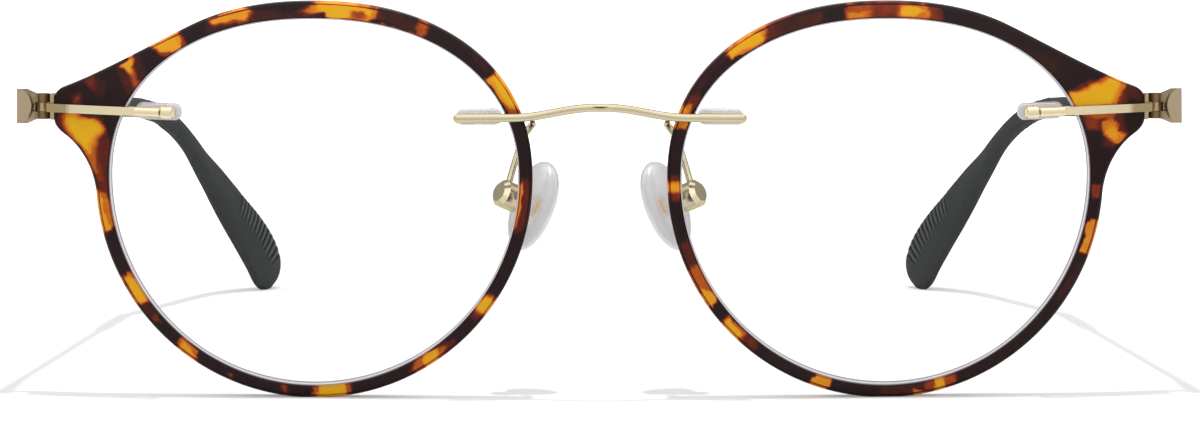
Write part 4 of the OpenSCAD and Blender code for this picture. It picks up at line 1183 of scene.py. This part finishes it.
class GLASSES_OT_pads(bpy.types.Operator):
    """Builds the soft nose pads and dresses their cores, boxes and screws"""

    bl_idname = "glasses.pads"
    bl_label = "Nose Pads"

    def execute(self, context):
        verts, count = [], 56
        for k, depth in PAD_STEPS:
            for j in range(count):
                g = 2 * math.pi * j / count
                c, s = math.cos(g), math.sin(g)
                verts.append(pad_place((PAD_NEAR - depth * PAD_THICK,
                                        s * k * PAD_HALF_WIDE * (1 + 0.08 * c),
                                        c * k * PAD_HALF_HIGH)))
        faces = [tuple(reversed(f)) for f in ring_faces(len(PAD_STEPS), count)]
        for side_name, side in SIDES:
            pad = add_piece("pad_cushion_" + side_name, verts, faces, side,
                            get_material("pad_silicone"), 70)
            finish_piece(pad, ["nose_pad_" + side_name],
                         f"pad_{side_name}_body")
            dress_node("pad_core_" + side_name, "brass_core", 0.06 * MM)
            dress_node("pad_box_" + side_name, "wire_gold", 0.4 * MM, 5)
            dress_node("pad_screw_" + side_name, "satin_gold_metal", 0.04 * MM)
        return {"FINISHED"}


class GLASSES_OT_arms(bpy.types.Operator):
    """Builds the bent wires that carry the nose pads"""

    bl_idname = "glasses.arms"
    bl_label = "Pad Arms"

    def execute(self, context):
        ax = 7.95
        low = bridge_pt(ax).z - WIRE_R - 0.02
        y0 = bridge_pt(ax).y
        ctrl = [Vector(p) for p in (
            (ax, y0 + 0.05, low - 0.02), (ax - 0.05, y0 + 0.9, WIDE_Z + 6.4),
            (ax + 0.2, 4.7, WIDE_Z + 6.0), (ax + 1.3, 6.0, WIDE_Z + 4.2),
            (ax + 2.15, 6.85, WIDE_Z + 1.7), (10.9, 6.9, PAD_PIVOT.z + 1.35))]
        us = [i / 16 for i in range(81)]
        pts = []
        for u in us:
            i = min(int(u), 4)
            pts.append(cat(ctrl[max(i - 1, 0)], ctrl[i], ctrl[i + 1], ctrl[min(i + 2, 5)], u - i))
        halves = [(0.4 * mix(0.75, 1, ease(u - 0.6)),) * 2 for u in us]
        verts = sweep(pts, halves, [Vector((1, 0.2, 0))] * len(us), [0.0] * len(us), 20, 0.9)
        verts = [Vector((v.x, v.y, min(v.z, low - 0.02))) for v in verts]
        faces = ring_faces(len(us), 20)
        for side_name, side in SIDES:
            arm = add_piece("arm_wire_" + side_name, verts, faces, side,
                            get_material("wire_gold"))
            finish_piece(arm, ["pad_arm_" + side_name])
        return {"FINISHED"}


# ---------------------------------------------------------------- stage


def stage_material():
    """White floor that keeps the shadow and stays white to the camera, gloss and glass."""
    material, tree, shader = new_material(
        "floor_white", Base_Color=(0.6, 0.6, 0.605, 1), Roughness=1.0, Specular_IOR_Level=0.0)
    where = coords(tree)
    tone = math_node(tree, "MULTIPLY_ADD", noise_node(tree, where, 60, 2), 0.01, 0.595)
    tree.links.new(tone, shader.inputs["Base Color"])
    path = tree.nodes.new("ShaderNodeLightPath").outputs
    gloss = math_node(tree, "MULTIPLY", path["Is Glossy Ray"], 0.6)
    seen = math_node(tree, "MAXIMUM", path["Is Camera Ray"], gloss)
    seen = math_node(tree, "MAXIMUM", seen, path["Is Transmission Ray"])
    away = tree.nodes.new("ShaderNodeMapRange")
    away.interpolation_type = "SMOOTHSTEP"
    for key, value in (("Value", vector_node(tree, "LENGTH", where)["Value"]),
                       ("From Min", 0.10), ("From Max", 0.40), ("To Min", 0.25), ("To Max", 1.0)):
        feed(tree, away.inputs[key], value)
    glow = tree.nodes.new("ShaderNodeEmission")
    glow.inputs["Color"].default_value = (1, 1, 1, 1)
    tree.links.new(math_node(tree, "MULTIPLY", seen, away.outputs[0]), glow.inputs["Strength"])
    both = tree.nodes.new("ShaderNodeAddShader")
    tree.links.new(shader.outputs[0], both.inputs[0])
    tree.links.new(glow.outputs[0], both.inputs[1])
    tree.links.new(both.outputs[0], tree.nodes["Material Output"].inputs["Surface"])
    return material


def light_room(scene, strength):
    """White to the camera, an even light, and darker and paler walls in reflections."""
    world = bpy.data.worlds.new("Studio")
    scene.world = world
    world.use_nodes = True
    tree = world.node_tree
    path = tree.nodes.new("ShaderNodeLightPath").outputs
    way = split(tree, coords(tree, "Generated"))
    lift = math_node(tree, "MULTIPLY_ADD", way["Z"], 0.5, 0.5)
    depth = math_node(tree, "MULTIPLY_ADD", way["Y"], 0.5, 0.5)
    room = ramp_node(tree, lift, [
        (0.0, 0.30), (0.38, 0.42), (0.48, 0.60), (0.56, 0.68), (0.64, 0.92), (0.75, 1.0)])
    dark_sides = ramp_node(tree, depth, [(0.66, 1.0), (0.74, 0.30), (0.90, 0.30), (0.97, 0.6)])
    backdrop = ramp_node(tree, depth, [(0.88, 0.0), (0.96, 0.6)])
    aside = ramp_node(tree, math_node(tree, "ABSOLUTE", way["X"]), [(0.55, 1.5), (0.85, 0.9)])
    white = math_node(tree, "MULTIPLY", room, dark_sides)
    white = math_node(tree, "MULTIPLY", white, aside)
    white = math_node(tree, "MAXIMUM", white, backdrop)
    shine = math_node(tree, "MULTIPLY", white, path["Is Glossy Ray"])
    clear = ramp_node(tree, depth, [(0.45, 0.35), (0.85, 1.0)])
    through = math_node(tree, "MULTIPLY", clear, path["Is Transmission Ray"])
    plain = math_node(tree, "SUBTRACT", 1.0, path["Is Glossy Ray"])
    plain = math_node(tree, "SUBTRACT", plain, path["Is Transmission Ray"], clamp=True)
    level = math_node(tree, "MULTIPLY_ADD", plain, strength, shine)
    level = math_node(tree, "ADD", level, through)
    level = math_node(tree, "MAXIMUM", level, path["Is Camera Ray"])
    back = tree.nodes["Background"]
    tree.links.new(level, back.inputs["Strength"])
    back.inputs["Color"].default_value = (1, 1, 1, 1)


# The lamp and the view, in metres and degrees. The focal length is in the photograph's pixels.
LAMP_UP, LAMP_Y, LAMP_SIZE = 0.85, -0.049, 0.030
VIEW_FAR, VIEW_X, VIEW_UP, VIEW_TILT = 0.8, -5.2 * MM, 88.73 * MM, 4.7831
FOCAL_PIXELS, PHOTO_WIDTH, SENSOR = 6806.27, 1200, 36


class GLASSES_OT_stage(bpy.types.Operator):
    """Sets up the white floor, the soft light and the camera"""

    bl_idname = "glasses.stage"
    bl_label = "Stage"

    def execute(self, context):
        scene = context.scene
        settings = scene.glasses_stage
        scene.view_settings.view_transform = "Standard"
        mesh = bpy.data.meshes.new("stage_floor")
        n = 24
        row = n + 1
        grid = [(mix(-1.2, 1.2, i / n), mix(-0.17, 2.2, j / n), 0.0)
                for j in range(row) for i in range(row)]
        faces = [(j * row + i, j * row + i + 1, (j + 1) * row + i + 1, (j + 1) * row + i)
                 for j in range(n) for i in range(n)]
        mesh.from_pydata(grid, [], faces)
        mesh.materials.append(stage_material())
        add_object("stage_floor", mesh)
        light_room(scene, settings.sky)

        light = bpy.data.lights.new("lamp_overhead", "AREA")
        light.shape = "DISK"
        light.size = LAMP_SIZE
        light.energy = settings.lamp * math.pi * LAMP_UP * LAMP_UP
        lamp = add_object("lamp_overhead", light)
        lamp.location = (0, LAMP_Y, LAMP_UP)
        lamp.visible_glossy = False

        view = bpy.data.cameras.new("photo_view")
        view.sensor_width = SENSOR
        view.sensor_fit = "HORIZONTAL"
        view.lens = FOCAL_PIXELS / PHOTO_WIDTH * SENSOR
        view.clip_start, view.clip_end = 0.05, 30
        camera = add_object("photo_view", view)
        camera.location = (VIEW_X, FRONT_Y * MM - VIEW_FAR, VIEW_UP)
        camera.rotation_euler = (math.radians(90 - VIEW_TILT), 0, math.atan2(VIEW_X, VIEW_FAR))
        scene.camera = camera
        return {"FINISHED"}


STEPS = ("rims", "lenses", "bridge", "mounts", "endpieces", "temples", "tips", "pads", "arms",
         "stage")


class GLASSES_PT_pieces(bpy.types.Panel):
    """Lists the pieces of the glasses"""

    bl_idname = "GLASSES_PT_pieces"
    bl_label = "Glasses"
    bl_space_type = "VIEW_3D"
    bl_region_type = "UI"
    bl_category = "Glasses"

    def draw(self, context):
        scene = context.scene
        for group in (scene.glasses_rim, scene.glasses_metal, scene.glasses_plastic,
                      scene.glasses_stage):
            box = self.layout.box()
            for key in group.__annotations__:
                box.prop(group, key)
        column = self.layout.column()
        for step in STEPS:
            column.operator("glasses." + step)


CLASSES = (RimSettings, MetalSettings, PlasticSettings, StageSettings,
           GLASSES_OT_rims, GLASSES_OT_lenses, GLASSES_OT_bridge, GLASSES_OT_mounts,
           GLASSES_OT_endpieces, GLASSES_OT_temples, GLASSES_OT_tips, GLASSES_OT_pads,
           GLASSES_OT_arms, GLASSES_OT_stage, GLASSES_PT_pieces)


def register():
    for cls in CLASSES:
        bpy.utils.register_class(cls)
    scene = bpy.types.Scene
    scene.glasses_rim = bpy.props.PointerProperty(type=RimSettings)
    scene.glasses_metal = bpy.props.PointerProperty(type=MetalSettings)
    scene.glasses_plastic = bpy.props.PointerProperty(type=PlasticSettings)
    scene.glasses_stage = bpy.props.PointerProperty(type=StageSettings)


def unregister():
    scene = bpy.types.Scene
    del scene.glasses_rim, scene.glasses_metal, scene.glasses_plastic, scene.glasses_stage
    for cls in reversed(CLASSES):
        bpy.utils.unregister_class(cls)


def main():
    register()
    for step in STEPS:
        getattr(bpy.ops.glasses, step)()
    bpy.context.view_layer.update()


if __name__ == "__main__":
    main()
